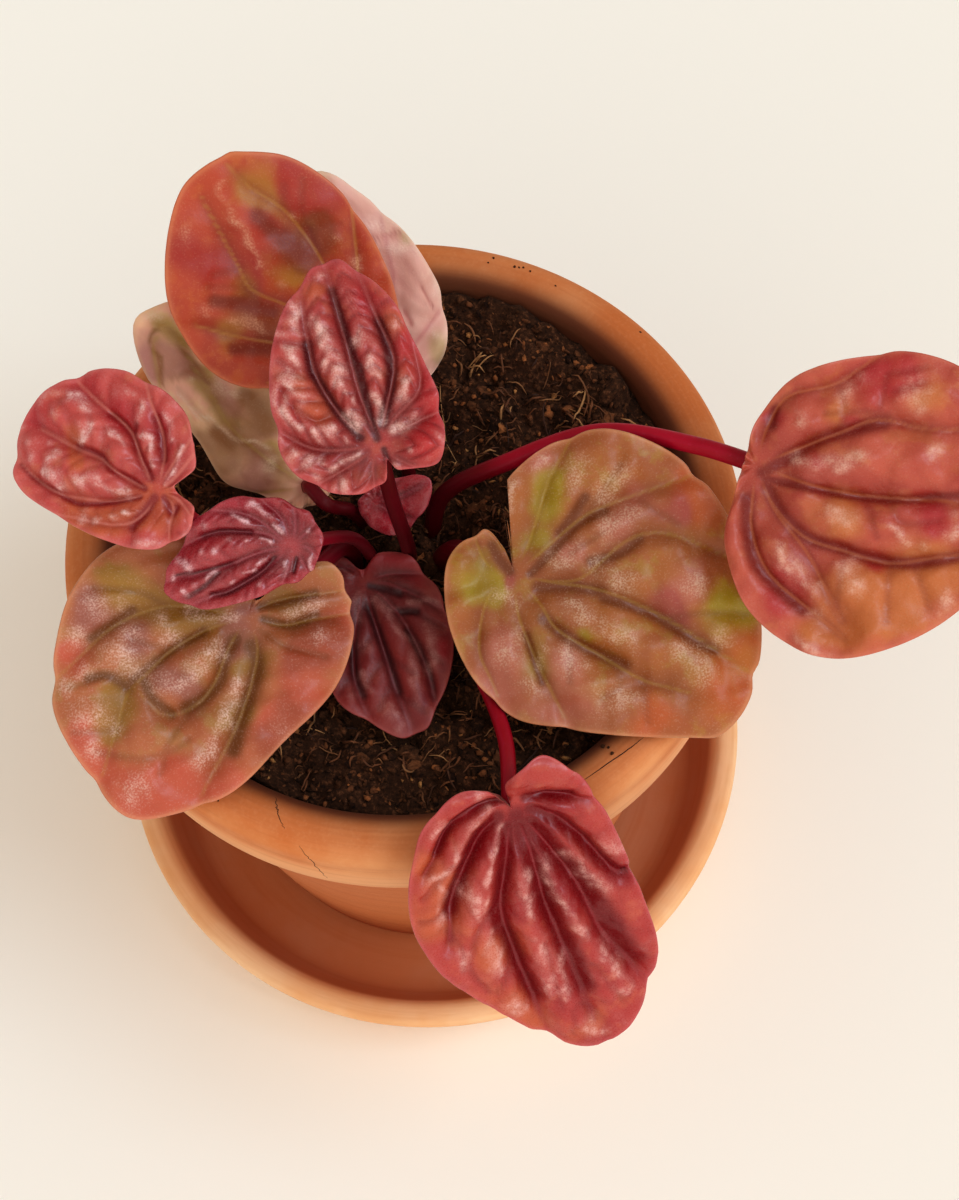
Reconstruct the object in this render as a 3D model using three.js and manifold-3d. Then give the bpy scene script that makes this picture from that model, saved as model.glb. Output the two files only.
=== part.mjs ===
// A potted Quito peperomia: twelve rippled heart-shaped leaves on long stalks, rooted in dark soil,
// in a terracotta pot that rests in a terracotta saucer.
// Millimetres, +Z up. The origin is the middle of the saucer's underside, and the front is -Y.
import * as THREE from 'three';
import { mergeVertices } from 'three/addons/utils/BufferGeometryUtils.js';
import Module from 'manifold-3d';

const wasm = await Module();
wasm.setup();

// Driving dimensions
const roundSides = 48;          // sides of every turned piece
const saucerRadius = 63;        // outside of the saucer's lip
const saucerHeight = 20;
const saucerWall = 5;
const saucerFloor = 6;          // top of the floor, where the pot stands
const rimRadius = 60;           // outside of the pot's collar
const rimTop = 117;             // highest point of the pot's lip
const collarHeight = 18;
const collarStep = 4.5;         // how far the collar stands out from the body below it
const rimInner = 50.4;          // inside of the thick lip
const potFootRadius = 41;
const potWall = 5.5;
const potFloor = 7;             // thickness of the pot's floor
const drainRadius = 6;
const soilTop = 108;            // mean level of the soil
const seatGap = 0.3;            // clearance between pieces that meet
const bladeThickness = 1.1;
const stalkSides = 7;
const holeClearance = 0.35;     // between a stalk and its hole in the soil

const clay = { color: '#c4703f', roughness: 0.82, metalness: 0 };
const stalkRed = '#a32a44';

const group = new THREE.Group();

function addMesh(name, geometry, look) {
  const mesh = new THREE.Mesh(geometry, new THREE.MeshStandardMaterial(look));
  mesh.name = name;
  group.add(mesh);
}

// A turned piece: its closed profile [radius, height] spun round the upright axis.
function turned(profile) {
  const points = profile.map(([radius, height]) => new THREE.Vector2(radius, height));
  return new THREE.LatheGeometry(points, roundSides).rotateX(Math.PI / 2);
}

function toSolid(geometry) {
  const bare = geometry.clone();
  bare.deleteAttribute('normal');
  bare.deleteAttribute('uv');
  const merged = mergeVertices(bare, 1e-4);
  return new wasm.Manifold(new wasm.Mesh({
    numProp: 3,
    vertProperties: Float32Array.from(merged.attributes.position.array),
    triVerts: Uint32Array.from(merged.index.array),
  }));
}

function toGeometry(solid) {
  const { vertProperties, triVerts } = solid.getMesh();
  const geometry = new THREE.BufferGeometry();
  geometry.setAttribute('position', new THREE.BufferAttribute(vertProperties, 3));
  geometry.setIndex(new THREE.BufferAttribute(triVerts, 1));
  return geometry;
}

// Saucer: a thrown dish with a low step inside its wall
addMesh('saucer', turned([
  [0, 0], [saucerRadius - 7, 0], [saucerRadius - 5.4, 1.4], [saucerRadius - 2, 12],
  [saucerRadius, saucerHeight - 2.4], [saucerRadius - 0.6, saucerHeight - 0.6],
  [saucerRadius - 2.4, saucerHeight], [saucerRadius - saucerWall + 0.5, saucerHeight - 0.8],
  [saucerRadius - saucerWall - 0.9, saucerHeight - 4], [saucerRadius - saucerWall - 4, saucerFloor + 3.2],
  [saucerRadius - saucerWall - 6, saucerFloor + 1], [saucerRadius - saucerWall - 9.5, saucerFloor],
  [0, saucerFloor],
]), clay);

// Pot: a tapered body under a thick collar with a rounded lip, and a drain hole in the floor
const potBase = saucerFloor;
const collarFoot = rimTop - collarHeight;
const bodyTop = rimRadius - collarStep;
const lipFoot = rimTop - 4.5;   // where the rounded lip meets the straight inside
const soilBase = potBase + potFloor;
const insideTaper = (rimInner - potFootRadius + potWall) / (lipFoot - soilBase);
const insideAt = (z) => rimInner - (lipFoot - z) * insideTaper;
addMesh('pot', turned([
  [drainRadius, potBase], [potFootRadius - 1, potBase], [potFootRadius + 0.1, potBase + 1],
  [bodyTop, collarFoot], [rimRadius - 1.2, collarFoot], [rimRadius - 0.3, collarFoot + 1.2],
  [rimRadius, rimTop - 4.4], [rimRadius - 0.9, rimTop - 1.6], [rimRadius - 2.8, rimTop - 0.2],
  [rimRadius - 5, rimTop], [rimInner + 2.2, rimTop - 0.7], [rimInner + 0.5, rimTop - 2.2],
  [rimInner, lipFoot], [insideAt(soilBase), soilBase], [drainRadius, soilBase], [drainRadius, potBase],
]), clay);

// Leaves. Each row holds, in millimetres: where the stalk meets the blade, the blade's tip, the way its
// upper side faces, its flat outline [along the tip line, to its left], the angles in degrees at which
// its main veins leave the stalk (left is positive), how the veins curl to the tip, the height of the
// ripples between them, how far the rim cups up, how far the tip droops, the waves of the margin, and
// the stalk: its thickness, where it stands in the soil, and the points that it passes.
const leaves = [
  { name: 'back_orange', at: [-5, 23.5, 150], tip: [-21, 44, 174], face: [0.18, -0.69, 0.71],
    outline: [[35.5, 1], [34, -2.5], [28.5, -8.5], [19, -12], [7.5, -11.5], [-2.5, -8.5], [-8, -3.5],
      [-7.5, 2], [-2.5, 1.5], [-6, 7.5], [-1, 16.5], [7, 22.5], [18.5, 22.5], [27, 18], [34.5, 9.5]],
    veins: [100, 64, 33, -14, -50, -95], curl: 0.3, ripple: 1.3, cup: -1.5, droop: 2, wave: 0.5,
    color: '#b4502f', thick: 2.8, root: [-2.5, 9.5], via: [[-3, 13, 128], [-4.5, 19, 143]] },
  { name: 'back_pale', at: [0, 24.5, 128], tip: [-7, 51.5, 156], face: [-0.08, 0.71, -0.7],
    outline: [[39.5, -0.5], [34, 4.5], [25.5, 10], [18.5, 12.5], [10.5, 13.5], [3, 11.5], [-1, 8],
      [-2.5, 1.5], [-1, 0], [-0.5, -7], [7.5, -11.5], [21, -11], [34, -6.5]],
    veins: [90, 45, 0, -45, -90], curl: 0.35, ripple: 0.9, cup: 1.5, droop: 1, wave: 0.8,
    color: '#d79f95', thick: 2.4, root: [2.5, 10], via: [[2, 12, 120], [1, 18, 130.5]] },
  { name: 'left_pale', at: [-15, 6, 128], tip: [-38.5, 30.5, 150], face: [-0.17, 0.56, -0.81],
    outline: [[40.5, 1], [40, -3.5], [32.5, -7.5], [25, -8], [18.5, -8.5], [10.5, -10], [4.5, -7.5],
      [-1.5, -4], [-3, -0.5], [-2.5, 6.5], [8.5, 12.5], [24, 13], [36, 8]],
    veins: [85, 40, 0, -40, -85], curl: 0.35, ripple: 1.3, cup: 2, droop: 1, wave: 1.2,
    color: '#b98f6c', thick: 2.4, root: [-6.5, 7.5], via: [[-8.5, 4.5, 119], [-12.2, 0.8, 131]] },
  { name: 'top_ripple', at: [-1, -6.5, 166], tip: [-7.5, 20.5, 179], face: [0.03, -0.43, 0.9],
    outline: [[30.5, -0.5], [26.5, 6], [20, 11], [12, 14], [3, 15], [-3.5, 11.5], [-6.5, 5], [-6, 1],
      [-3, -0.5], [-5, -2], [-5.5, -8], [1.5, -11], [10.5, -11], [19.5, -9.5], [27.5, -5.5]],
    veins: [125, 82, 40, 0, -38, -80, -125], curl: 0.5, ripple: 1.5, cup: -2, droop: 1.5, wave: 0.4,
    color: '#b4404c', thick: 2.6, root: [0.8, -1.8], via: [[0.8, -3.2, 118], [-0.6, -5.2, 145]] },
  { name: 'left_rose', at: [-38, -5.5, 155], tip: [-61.5, 5.5, 154], face: [-0.19, -0.32, 0.93],
    outline: [[26.5, 0], [26, -6.5], [22, -12.5], [14, -17], [5, -16.5], [-2.5, -12], [-5, -6], [-3, -1.5],
      [-7.5, 1], [-6, 6.5], [0, 9.5], [9.5, 9.5], [18, 8], [24, 5]],
    veins: [110, 65, 30, 0, -35, -75, -115], curl: 0.35, ripple: 1.2, cup: -2, droop: 1.5, wave: 0.6,
    color: '#bd4b48', thick: 2.6, root: [-8.5, 2.8], via: [[-19, -1.5, 131], [-32, -4.5, 148]] },
  { name: 'mid_crimson', at: [-17.5, -14.5, 148], tip: [-39, -17.5, 146], face: [-0.02, -0.43, 0.9],
    outline: [[22, 0], [17.5, -5], [12, -9.5], [5, -10], [-1.5, -7.5], [-5.5, -3], [-5, 1.5], [-2.5, 5],
      [3, 6], [10.5, 6.5], [17, 6], [21, 3]],
    veins: [115, 70, 35, 0, -35, -70, -115], curl: 0.55, ripple: 1.2, cup: -1.5, droop: 1, wave: 0.3,
    color: '#9c2140', thick: 2.2, root: [-4.5, -3], via: [[-7.6, -4.8, 127], [-13.2, -10, 140]] },
  { name: 'left_olive', at: [-26.5, -19.5, 133], tip: [-50, -48.5, 121], face: [0.06, -0.42, 0.9],
    outline: [[39, 0], [36.5, -8.5], [30, -19.5], [21, -24.5], [11, -27], [1.5, -25], [-6.5, -17],
      [-7, -6.5], [-3, -0.5], [-9, 2], [-14.5, 6.5], [-12.5, 12], [-6.5, 16.5], [3, 18.5], [14, 16],
      [26, 13], [34.5, 6.5]],
    veins: [126, 62, 35, 0, -48, -70, -100], curl: 0.35, ripple: 2.2, cup: -1, droop: 1, wave: 0.5,
    color: '#b5683f', thick: 3, root: [-9, -1.5], via: [[-10.5, -3, 120.5], [-20, -14.5, 128]] },
  { name: 'front_maroon', at: [-7.5, -8.5, 117], tip: [-2, -36.5, 114], face: [-0.02, -0.11, 0.99],
    outline: [[28.5, -0.5], [27, 4.5], [18.5, 10.5], [10.5, 12.5], [3, 11.5], [-2.5, 8.5], [-4, 4],
      [-2.5, 0.5], [-5.5, -2], [-5, -5], [1.5, -8.5], [9.5, -10.5], [19, -10], [25, -5]],
    veins: [110, 60, 28, 0, -28, -60, -110], curl: 0.45, ripple: 0.8, cup: -1, droop: 1, wave: 0.3,
    color: '#7a2f38', thick: 2, root: [-6.5, -8.5], via: [[-7, -8.4, 112.5]] },
  { name: 'small_crimson', at: [-4, 4.5, 122], tip: [6, 6, 126], face: [-0.26, -0.49, 0.83],
    outline: [[11, 0], [9, -3.5], [5, -6.5], [0.5, -6.5], [-2.5, -3.5], [-3, 0.5], [-0.5, 2], [5, 2.5]],
    veins: [60, 0, -60], curl: 0.4, ripple: 0.5, cup: 0, droop: 0.5, wave: 0.2,
    color: '#96243f', thick: 1.8, root: [-3.5, 5.5], via: [[-3.8, 5.2, 114]] },
  { name: 'right_olive', at: [18.5, -16.5, 132], tip: [48.5, -44.5, 121], face: [-0.02, -0.39, 0.92],
    outline: [[44, 1.5], [40, -2.5], [31.5, -9], [22, -15], [14.5, -18.5], [5, -17.5], [-4, -12.5],
      [-10, -5], [-9, 2.5], [-4.5, 2.5], [-1, 1], [-3, 4], [-10, 9], [-10.5, 16], [-7.5, 24], [-2, 29.5],
      [8, 32.5], [17.5, 31.5], [28.5, 26.5], [38, 19], [43.5, 9.5]],
    veins: [115, 85, 55, 28, -9, -42, -100], curl: 0.3, ripple: 1.6, cup: -1, droop: 2, wave: 0.4,
    color: '#a9693f', thick: 3, root: [5, -2], via: [[9, -5.6, 121], [14, -11, 127]] },
  { name: 'far_coral', at: [60, -7.5, 146], tip: [99.5, -20, 150], face: [-0.21, -0.39, 0.9],
    outline: [[42, -1], [38, 12.5], [31.5, 19.5], [21.5, 21.5], [12, 19], [3.5, 14.5], [-1, 7.5],
      [-2, 1.5], [-3, -5.5], [-3.5, -13], [1, -22.5], [8.5, -28], [17, -29.5], [26.5, -26], [34.5, -20],
      [40.5, -11.5]],
    veins: [100, 70, 29, -8, -46, -75, -105], curl: 0.5, ripple: 1.8, cup: -2, droop: 1.5, wave: 0.6,
    color: '#b5472f', thick: 3, root: [5, 4.5],
    via: [[8, 6.8, 117], [19.2, 6.4, 128], [35.7, 7.2, 134.5], [51.6, 0.2, 139.5]] },
  { name: 'front_coral', at: [14.5, -56, 126], tip: [27, -87.5, 88], face: [0.14, -0.74, 0.66],
    outline: [[50.5, -1], [46.5, -8], [37, -14.5], [26, -20.5], [15, -23], [4.5, -20.5], [-4.5, -15],
      [-9, -7], [-7, -1], [-2.5, 0.5], [-5.5, 3.5], [-5, 8.5], [2, 12], [11, 14.5], [24.5, 14.5],
      [37, 13.5], [46.5, 7.5]],
    veins: [103, 55, 24, 0, -33, -75, -118], curl: 0.35, ripple: 2, cup: -1.5, droop: 2, wave: 0.6,
    color: '#b23a44', thick: 3, root: [3.5, -7.5], via: [[8.7, -20.5, 114.8], [13.4, -42, 123]] },
];

const smallBlade = 30;          // a blade shorter than this gets fewer facets

// Fills in what the blade's points are worked out from: its frame and its reach at every angle.
function prepare(leaf) {
  const at = new THREE.Vector3(...leaf.at);
  const along = new THREE.Vector3(...leaf.tip).sub(at);
  const length = along.length();
  along.normalize();
  const up = new THREE.Vector3(...leaf.face);
  up.addScaledVector(along, -up.dot(along)).normalize();
  const left = new THREE.Vector3().crossVectors(up, along);
  const knots = leaf.outline.map(([x, y]) => new THREE.Vector3(x, y, 0));
  const curve = new THREE.CatmullRomCurve3(knots, true, 'catmullrom', 0.5);
  const rim = curve.getPoints(knots.length * 12).map((p) => [Math.atan2(p.y, p.x), Math.hypot(p.x, p.y)]);
  rim.sort((a, b) => a[0] - b[0]);
  const reach = (angle) => {
    const next = rim.findIndex(([a]) => a >= angle);
    const turn = next < 0 ? 2 * Math.PI : 0;
    const [a1, r1] = next > 0 ? rim[next] : [rim[0][0] + turn, rim[0][1]];
    const [a0, r0] = next > 0 ? rim[next - 1] : [rim.at(-1)[0] - 2 * Math.PI + turn, rim.at(-1)[1]];
    return r0 + (r1 - r0) * (angle - a0) / (a1 - a0 || 1);
  };
  return { at, along, left, up, length, reach };
}

// A blade point: vein angle phi (radians) and share rho of the way from the stalk to the margin.
// Veins keep their phi, so lines of equal phi curl to the tip as the veins do.
function bladePoint(leaf, shape, veins, phi, rho) {
  const bend = leaf.curl * rho ** 1.5;
  const angle = phi * (1 - bend) + phi * Math.abs(phi) * bend / Math.PI;
  const reach = shape.reach(angle) * rho;
  const x = reach * Math.cos(angle);
  const y = reach * Math.sin(angle);
  const next = veins.findIndex((v) => v > phi + 1e-6);
  const [a, b] = [veins[next - 1] ?? -Math.PI, veins[next] ?? Math.PI];
  const across = (phi - a) / (b - a);
  const width = (b - a) * reach;
  const crown = Math.max(0, 4 * across * (1 - across)) ** 0.6;
  const ridge = leaf.ripple * crown * (1 - Math.exp(-width / 5)) * (1 - 0.55 * rho ** 4);
  const wave = leaf.wave * Math.sin(9 * phi + leaf.at[0]) * rho ** 3;
  const cup = leaf.cup * (reach / shape.length) ** 2;
  const droop = -leaf.droop * (Math.max(0, x) / shape.length) ** 2;
  return shape.at.clone().addScaledVector(shape.along, x).addScaledVector(shape.left, y)
    .addScaledVector(shape.up, ridge + wave + cup + droop);
}

// The blade as one closed solid: the same facets above and below, one thickness apart.
function blade(leaf, shape) {
  const small = shape.length < smallBlade;
  const cuts = small ? 3 : 4;
  const rings = small ? 5 : 7;
  const veins = leaf.veins.map(THREE.MathUtils.degToRad).sort((a, b) => a - b);
  const marks = [-Math.PI, ...veins, Math.PI];
  const lines = marks.slice(1).flatMap((end, i) => (
    Array.from({ length: cuts }, (_, k) => marks[i] + (end - marks[i]) * k / cuts)));
  const top = [shape.at.clone()];
  for (let ring = 1; ring <= rings; ring += 1) {
    lines.forEach((phi) => top.push(bladePoint(leaf, shape, veins, phi, ring / rings)));
  }
  const under = top.map((p) => p.clone().addScaledVector(shape.up, -bladeThickness));
  const count = lines.length;
  const spot = (ring, i) => 1 + (ring - 1) * count + (i % count);
  const faces = [];
  for (let i = 0; i < count; i += 1) {
    faces.push([0, spot(1, i), spot(1, i + 1)]);
    for (let ring = 1; ring < rings; ring += 1) {
      faces.push([spot(ring, i), spot(ring + 1, i), spot(ring + 1, i + 1)]);
      faces.push([spot(ring, i), spot(ring + 1, i + 1), spot(ring, i + 1)]);
    }
  }
  const lower = faces.map(([a, b, c]) => [a + top.length, c + top.length, b + top.length]);
  const edge = [];
  for (let i = 0; i < count; i += 1) {
    const [a, b] = [spot(rings, i), spot(rings, i + 1)];
    edge.push([a, a + top.length, b + top.length], [a, b + top.length, b]);
  }
  const geometry = new THREE.BufferGeometry().setFromPoints([...top, ...under]);
  geometry.setIndex([...faces, ...lower, ...edge].flat());
  return geometry;
}

// The stalk's route: upright in the soil, then through its points to the underside of the blade.
function stalkRoute(leaf, shape) {
  const radius = leaf.thick / 2;
  const end = shape.at.clone().addScaledVector(shape.up, -bladeThickness - seatGap);
  const before = end.clone().addScaledVector(shape.up, -2 * radius);
  const roots = [12, 4].map((depth) => new THREE.Vector3(...leaf.root, soilTop - depth));
  const via = leaf.via.map((p) => new THREE.Vector3(...p));
  return new THREE.CatmullRomCurve3([...roots, ...via, before, end], false, 'centripetal');
}

function stalk(route, radius) {
  const ring = new THREE.Shape(Array.from({ length: stalkSides }, (_, i) => {
    const turn = 2 * Math.PI * i / stalkSides;
    return new THREE.Vector2(radius * Math.cos(turn), radius * Math.sin(turn));
  }));
  const steps = Math.max(8, Math.round(route.getLength() / 5));
  return new THREE.ExtrudeGeometry(ring, { steps, extrudePath: route, bevelEnabled: false });
}

// Soil: it fills the pot to below the lip, with a lumpy top and a plain hole for each stalk.
const lump = (x, y) => 0.9 * Math.sin(0.21 * x + 0.7) * Math.cos(0.17 * y)
  + 0.8 * Math.sin(0.38 * y - 0.26 * x + 2) + 0.6 * Math.cos(0.55 * x + 0.4 * y);
const soilRadiusAt = (z) => insideAt(z) - seatGap;
const soilRings = [1, 0.86, 0.68, 0.5, 0.32, 0.14].map((share) => [soilRadiusAt(soilTop) * share, soilTop]);
const mound = turned([[0, soilBase], [soilRadiusAt(soilBase), soilBase], ...soilRings, [0, soilTop]]);
const moundPoints = mound.attributes.position;
for (let i = 0; i < moundPoints.count; i += 1) {
  const [x, y, z] = [moundPoints.getX(i), moundPoints.getY(i), moundPoints.getZ(i)];
  if (Math.abs(z - soilTop) < 0.01) moundPoints.setZ(i, z + lump(x, y));
}
let soil = toSolid(mound);

for (const leaf of leaves) {
  const shape = prepare(leaf);
  const route = stalkRoute(leaf, shape);
  const radius = leaf.thick / 2;
  addMesh(`leaf_${leaf.name}`, blade(leaf, shape), { color: leaf.color, roughness: 0.4, metalness: 0 });
  addMesh(`stalk_${leaf.name}`, stalk(route, radius), { color: stalkRed, roughness: 0.45, metalness: 0 });
  soil = soil.subtract(toSolid(stalk(route, radius + holeClearance)));
}
addMesh('soil', toGeometry(soil), { color: '#35231a', roughness: 1, metalness: 0 });

export default group;
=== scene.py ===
import math

import bmesh
import bpy
import numpy as np
from mathutils import Matrix, Vector
from mathutils.bvhtree import BVHTree


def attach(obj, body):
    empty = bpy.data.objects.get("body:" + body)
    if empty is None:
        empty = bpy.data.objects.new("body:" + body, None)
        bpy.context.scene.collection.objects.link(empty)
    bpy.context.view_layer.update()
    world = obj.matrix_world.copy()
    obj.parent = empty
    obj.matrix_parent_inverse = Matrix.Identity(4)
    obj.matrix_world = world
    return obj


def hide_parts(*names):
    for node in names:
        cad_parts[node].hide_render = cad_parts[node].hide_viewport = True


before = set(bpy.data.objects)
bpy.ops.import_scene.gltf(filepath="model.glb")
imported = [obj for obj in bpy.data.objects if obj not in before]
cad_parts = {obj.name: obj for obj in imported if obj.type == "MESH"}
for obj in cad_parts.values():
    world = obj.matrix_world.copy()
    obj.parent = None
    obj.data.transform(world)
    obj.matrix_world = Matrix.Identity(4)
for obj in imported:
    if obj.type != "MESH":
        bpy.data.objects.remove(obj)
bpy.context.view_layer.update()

# Saucer
# The dish that catches the water. It is red earthenware, thrown or jiggered on a wheel and fired
# without glaze, so fine rings run round it and its lip is rubbed smooth and paler.


def paint(code):
    """A linear colour from an sRGB hex code."""
    parts = [int(code[i:i + 2], 16) / 255 for i in (1, 3, 5)]
    return (*(p / 12.92 if p <= 0.04045 else ((p + 0.055) / 1.055) ** 2.4 for p in parts), 1.0)


def feed(tree, node, sockets):
    """Sets the inputs of a node, each to a value or to another node's output."""
    for name, value in sockets.items():
        if isinstance(value, bpy.types.NodeSocket):
            tree.links.new(value, node.inputs[name])
        else:
            node.inputs[name].default_value = value


def add(tree, kind, sockets=None, out=0, **settings):
    """Adds a node with its inputs and settings, and gives one of its outputs."""
    node = tree.nodes.new(kind)
    for name, value in settings.items():
        setattr(node, name, value)
    feed(tree, node, sockets or {})
    return node.outputs[out]


def lay(tree, colour, washes):
    """Lays washes over a colour: each takes hold as its mask goes from low to high, up to its strength."""
    for mask, low, high, strength, code in washes:
        share = add(tree, "ShaderNodeMapRange", {0: mask, 1: low, 2: high, 4: strength},
                    interpolation_type="SMOOTHSTEP")
        colour = add(tree, "ShaderNodeMix", {0: share, 6: colour, 7: paint(code)}, 2, data_type="RGBA")
    return colour


def new_material(name):
    """A new material, its nodes and its shader."""
    material = bpy.data.materials.new(name)
    material.use_nodes = True
    tree = material.node_tree
    return material, tree, tree.nodes["Principled BSDF"]


def fit(piece, node):
    """Says what a piece rides on and which solid it stands for."""
    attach(piece, "root")
    if node:
        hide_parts(node)


def make_object(name, points, faces, materials):
    """A smooth object from points in millimetres."""
    mesh = bpy.data.meshes.new(name)
    mesh.from_pydata((np.asarray(points) / 1000).tolist(), [], faces)
    for material in materials:
        mesh.materials.append(material)
    mesh.polygons.foreach_set("use_smooth", [True] * len(mesh.polygons))
    piece = bpy.data.objects.new(name, mesh)
    bpy.context.scene.collection.objects.link(piece)
    return piece


turned_sides = 256


def turned_clay(name, profile, material, closed=False):
    """A thrown piece: its profile is rounded twice, spun, and left slightly uneven as by hand."""
    line = np.array(profile, float)
    for _ in range(2):
        a, b = (line, np.roll(line, -1, 0)) if closed else (line[:-1], line[1:])
        cut = np.stack([a * 0.75 + b * 0.25, a * 0.25 + b * 0.75], 1).reshape(-1, 2)
        line = cut if closed else np.vstack([line[:1], cut, line[-1:]])
    points, faces = [], []
    for i in range(turned_sides):
        turn = 2 * math.pi * i / turned_sides
        uneven = 1 + 0.0012 * math.sin(2 * turn + 1) + 0.0008 * math.sin(5 * turn)
        points += [[r * uneven * math.cos(turn), r * uneven * math.sin(turn), z] for r, z in line]
    count = len(line)
    for i in range(turned_sides):
        one, two = i * count, (i + 1) % turned_sides * count
        for k in range(count if closed else count - 1):
            faces.append([one + k, two + k, two + (k + 1) % count, one + (k + 1) % count])
    piece = make_object(name, points, faces, [material])
    work = bmesh.new()
    work.from_mesh(piece.data)
    bmesh.ops.remove_doubles(work, verts=work.verts, dist=1e-6)
    bmesh.ops.recalc_face_normals(work, faces=work.faces)
    work.to_mesh(piece.data)
    work.free()
    return piece


def earthenware(name, body, pale, dark, bands, damp):
    """Unglazed earthenware: dry and matt, with fine throwing rings, a pale bloom of salts and rubbed
    grog, a few dark specks, bands of another tone, and a damp stain on the inside of its leaning wall,
    which also serves as painted shade there. A band is the two heights between which it sets in, in
    metres, its strength and its colour. The stain is the wall's lean, the reaches where it is full and
    where it ends, its level, strength and colour."""
    material, tree, shader = new_material(name)
    place = add(tree, "ShaderNodeTexCoord", out="Object")
    height = add(tree, "ShaderNodeSeparateXYZ", {0: place}, "Z")
    flat = add(tree, "ShaderNodeVectorMath", {0: place, 1: (1, 1, 0)}, operation="MULTIPLY")
    radius = add(tree, "ShaderNodeVectorMath", {0: flat}, "Value", operation="LENGTH")
    # Throwing rings every 1 to 3 mm: a pattern in radius and height that drifts slowly round the pot.
    drift = add(tree, "ShaderNodeTexNoise", {"Vector": place, "Scale": 14.0, "Detail": 1.0})
    drift = add(tree, "ShaderNodeMath", {0: drift, 1: 0.012}, operation="MULTIPLY")
    rings_at = add(tree, "ShaderNodeCombineXYZ", {0: radius, 1: height, 2: drift})
    rings = add(tree, "ShaderNodeTexNoise",
                {"Vector": rings_at, "Scale": 420.0, "Detail": 3.0, "Roughness": 0.6})
    # Wider streaks of 9 mm follow the same rings, and the salts bloom in clouds of 26 mm.
    streaks = add(tree, "ShaderNodeTexNoise", {"Vector": rings_at, "Scale": 110.0, "Detail": 2.0})
    cloud = add(tree, "ShaderNodeTexNoise",
                {"Vector": place, "Scale": 38.0, "Detail": 4.0, "Roughness": 0.62})
    # Grog grains of about 0.3 mm are drawn at 0.7 mm, or they would not show.
    grit = add(tree, "ShaderNodeTexNoise", {"Vector": place, "Scale": 1500.0, "Detail": 2.0})
    # Dark specks of iron under 1 mm, in a few of the cells of 8 mm.
    gap = add(tree, "ShaderNodeTexVoronoi", {"Vector": place, "Scale": 130.0}, "Distance")
    rare = add(tree, "ShaderNodeSeparateColor", {0: gap.node.outputs["Color"]})
    gap = add(tree, "ShaderNodeMapRange", {0: gap, 1: 0.03, 2: 0.055, 3: 1.0, 4: 0.0})
    speck = add(tree, "ShaderNodeMath", {0: gap, 1: rare}, operation="MULTIPLY")
    lean, within, outside, level, strength, wet = damp
    fade = 0.0035
    # The stain darkens the inside: a damp stain and painted shade together.
    upright = add(tree, "ShaderNodeMath", {0: height, 1: -lean, 2: radius}, operation="MULTIPLY_ADD")
    inside = add(tree, "ShaderNodeMapRange", {0: upright, 1: within, 2: outside, 3: 1.0, 4: 0.0})
    below = add(tree, "ShaderNodeMapRange", {0: height, 1: level - fade, 2: level, 3: 1.0, 4: 0.0})
    stain_and_shade = add(tree, "ShaderNodeMath", {0: inside, 1: below}, operation="MULTIPLY")
    tone = lay(tree, paint(body), [(cloud, 0.35, 0.7, 1.0, pale), (streaks, 0.52, 0.75, 0.4, pale)]
               + [(height, *band) for band in bands]
               + [(rings, 0.56, 0.3, 0.28, dark), (grit, 0.45, 0.75, 0.07, "#eebd92"),
                  (speck, 0.93, 0.96, 1.0, "#3a1d10"), (stain_and_shade, 0.0, 1.0, strength, wet)])
    relief = add(tree, "ShaderNodeMath", {0: grit, 1: 0.35, 2: rings}, operation="MULTIPLY_ADD")
    bump = add(tree, "ShaderNodeBump", {"Height": relief, "Strength": 0.35, "Distance": 0.00025})
    feed(tree, shader, {"Base Color": tone, "Normal": bump, "Roughness": 0.78, "Specular IOR Level": 0.32})
    return material


saucer_radius = 63
saucer_height = 20
saucer_floor = 6
# Pale and salted by hard water, with a rust-brown damp floor whose darkness is partly painted shade.
saucer_clay = earthenware("earthenware_saucer_unglazed", "#eeb480", "#f4caa0", "#ca8246", [],
                          (0.4, 0.051, 0.0525, 0.0185, 0.72, "#b4521e"))
saucer = turned_clay("terracotta_saucer", [
    [0, 0], [saucer_radius - 8, 0], [saucer_radius - 6.6, 0.1], [saucer_radius - 5.2, 1.6],
    [saucer_radius - 2, 12], [saucer_radius, saucer_height - 3.2], [saucer_radius - 0.1, saucer_height - 0.8],
    [saucer_radius - 1.4, saucer_height], [saucer_radius - 3.6, saucer_height],
    [saucer_radius - 4.9, saucer_height - 1.4], [saucer_radius - 5.9, saucer_height - 4],
    [saucer_radius - 9, saucer_floor + 3.2], [saucer_radius - 11, saucer_floor + 0.8],
    [saucer_radius - 15, saucer_floor], [0, saucer_floor]], saucer_clay)
fit(saucer, "saucer")

# Pot
# The plant pot: the same unglazed earthenware, with a tapered body, a thick collar and a drain hole.
# Its inside is darkened by a soil stain and by painted shade, and it stands loose in the saucer.
rim_radius = 60
rim_top = 117
collar_foot = 99
rim_inner = 50.4
wall_top = rim_top - 4.5
soil_base = 13
drain_radius = 6
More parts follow.
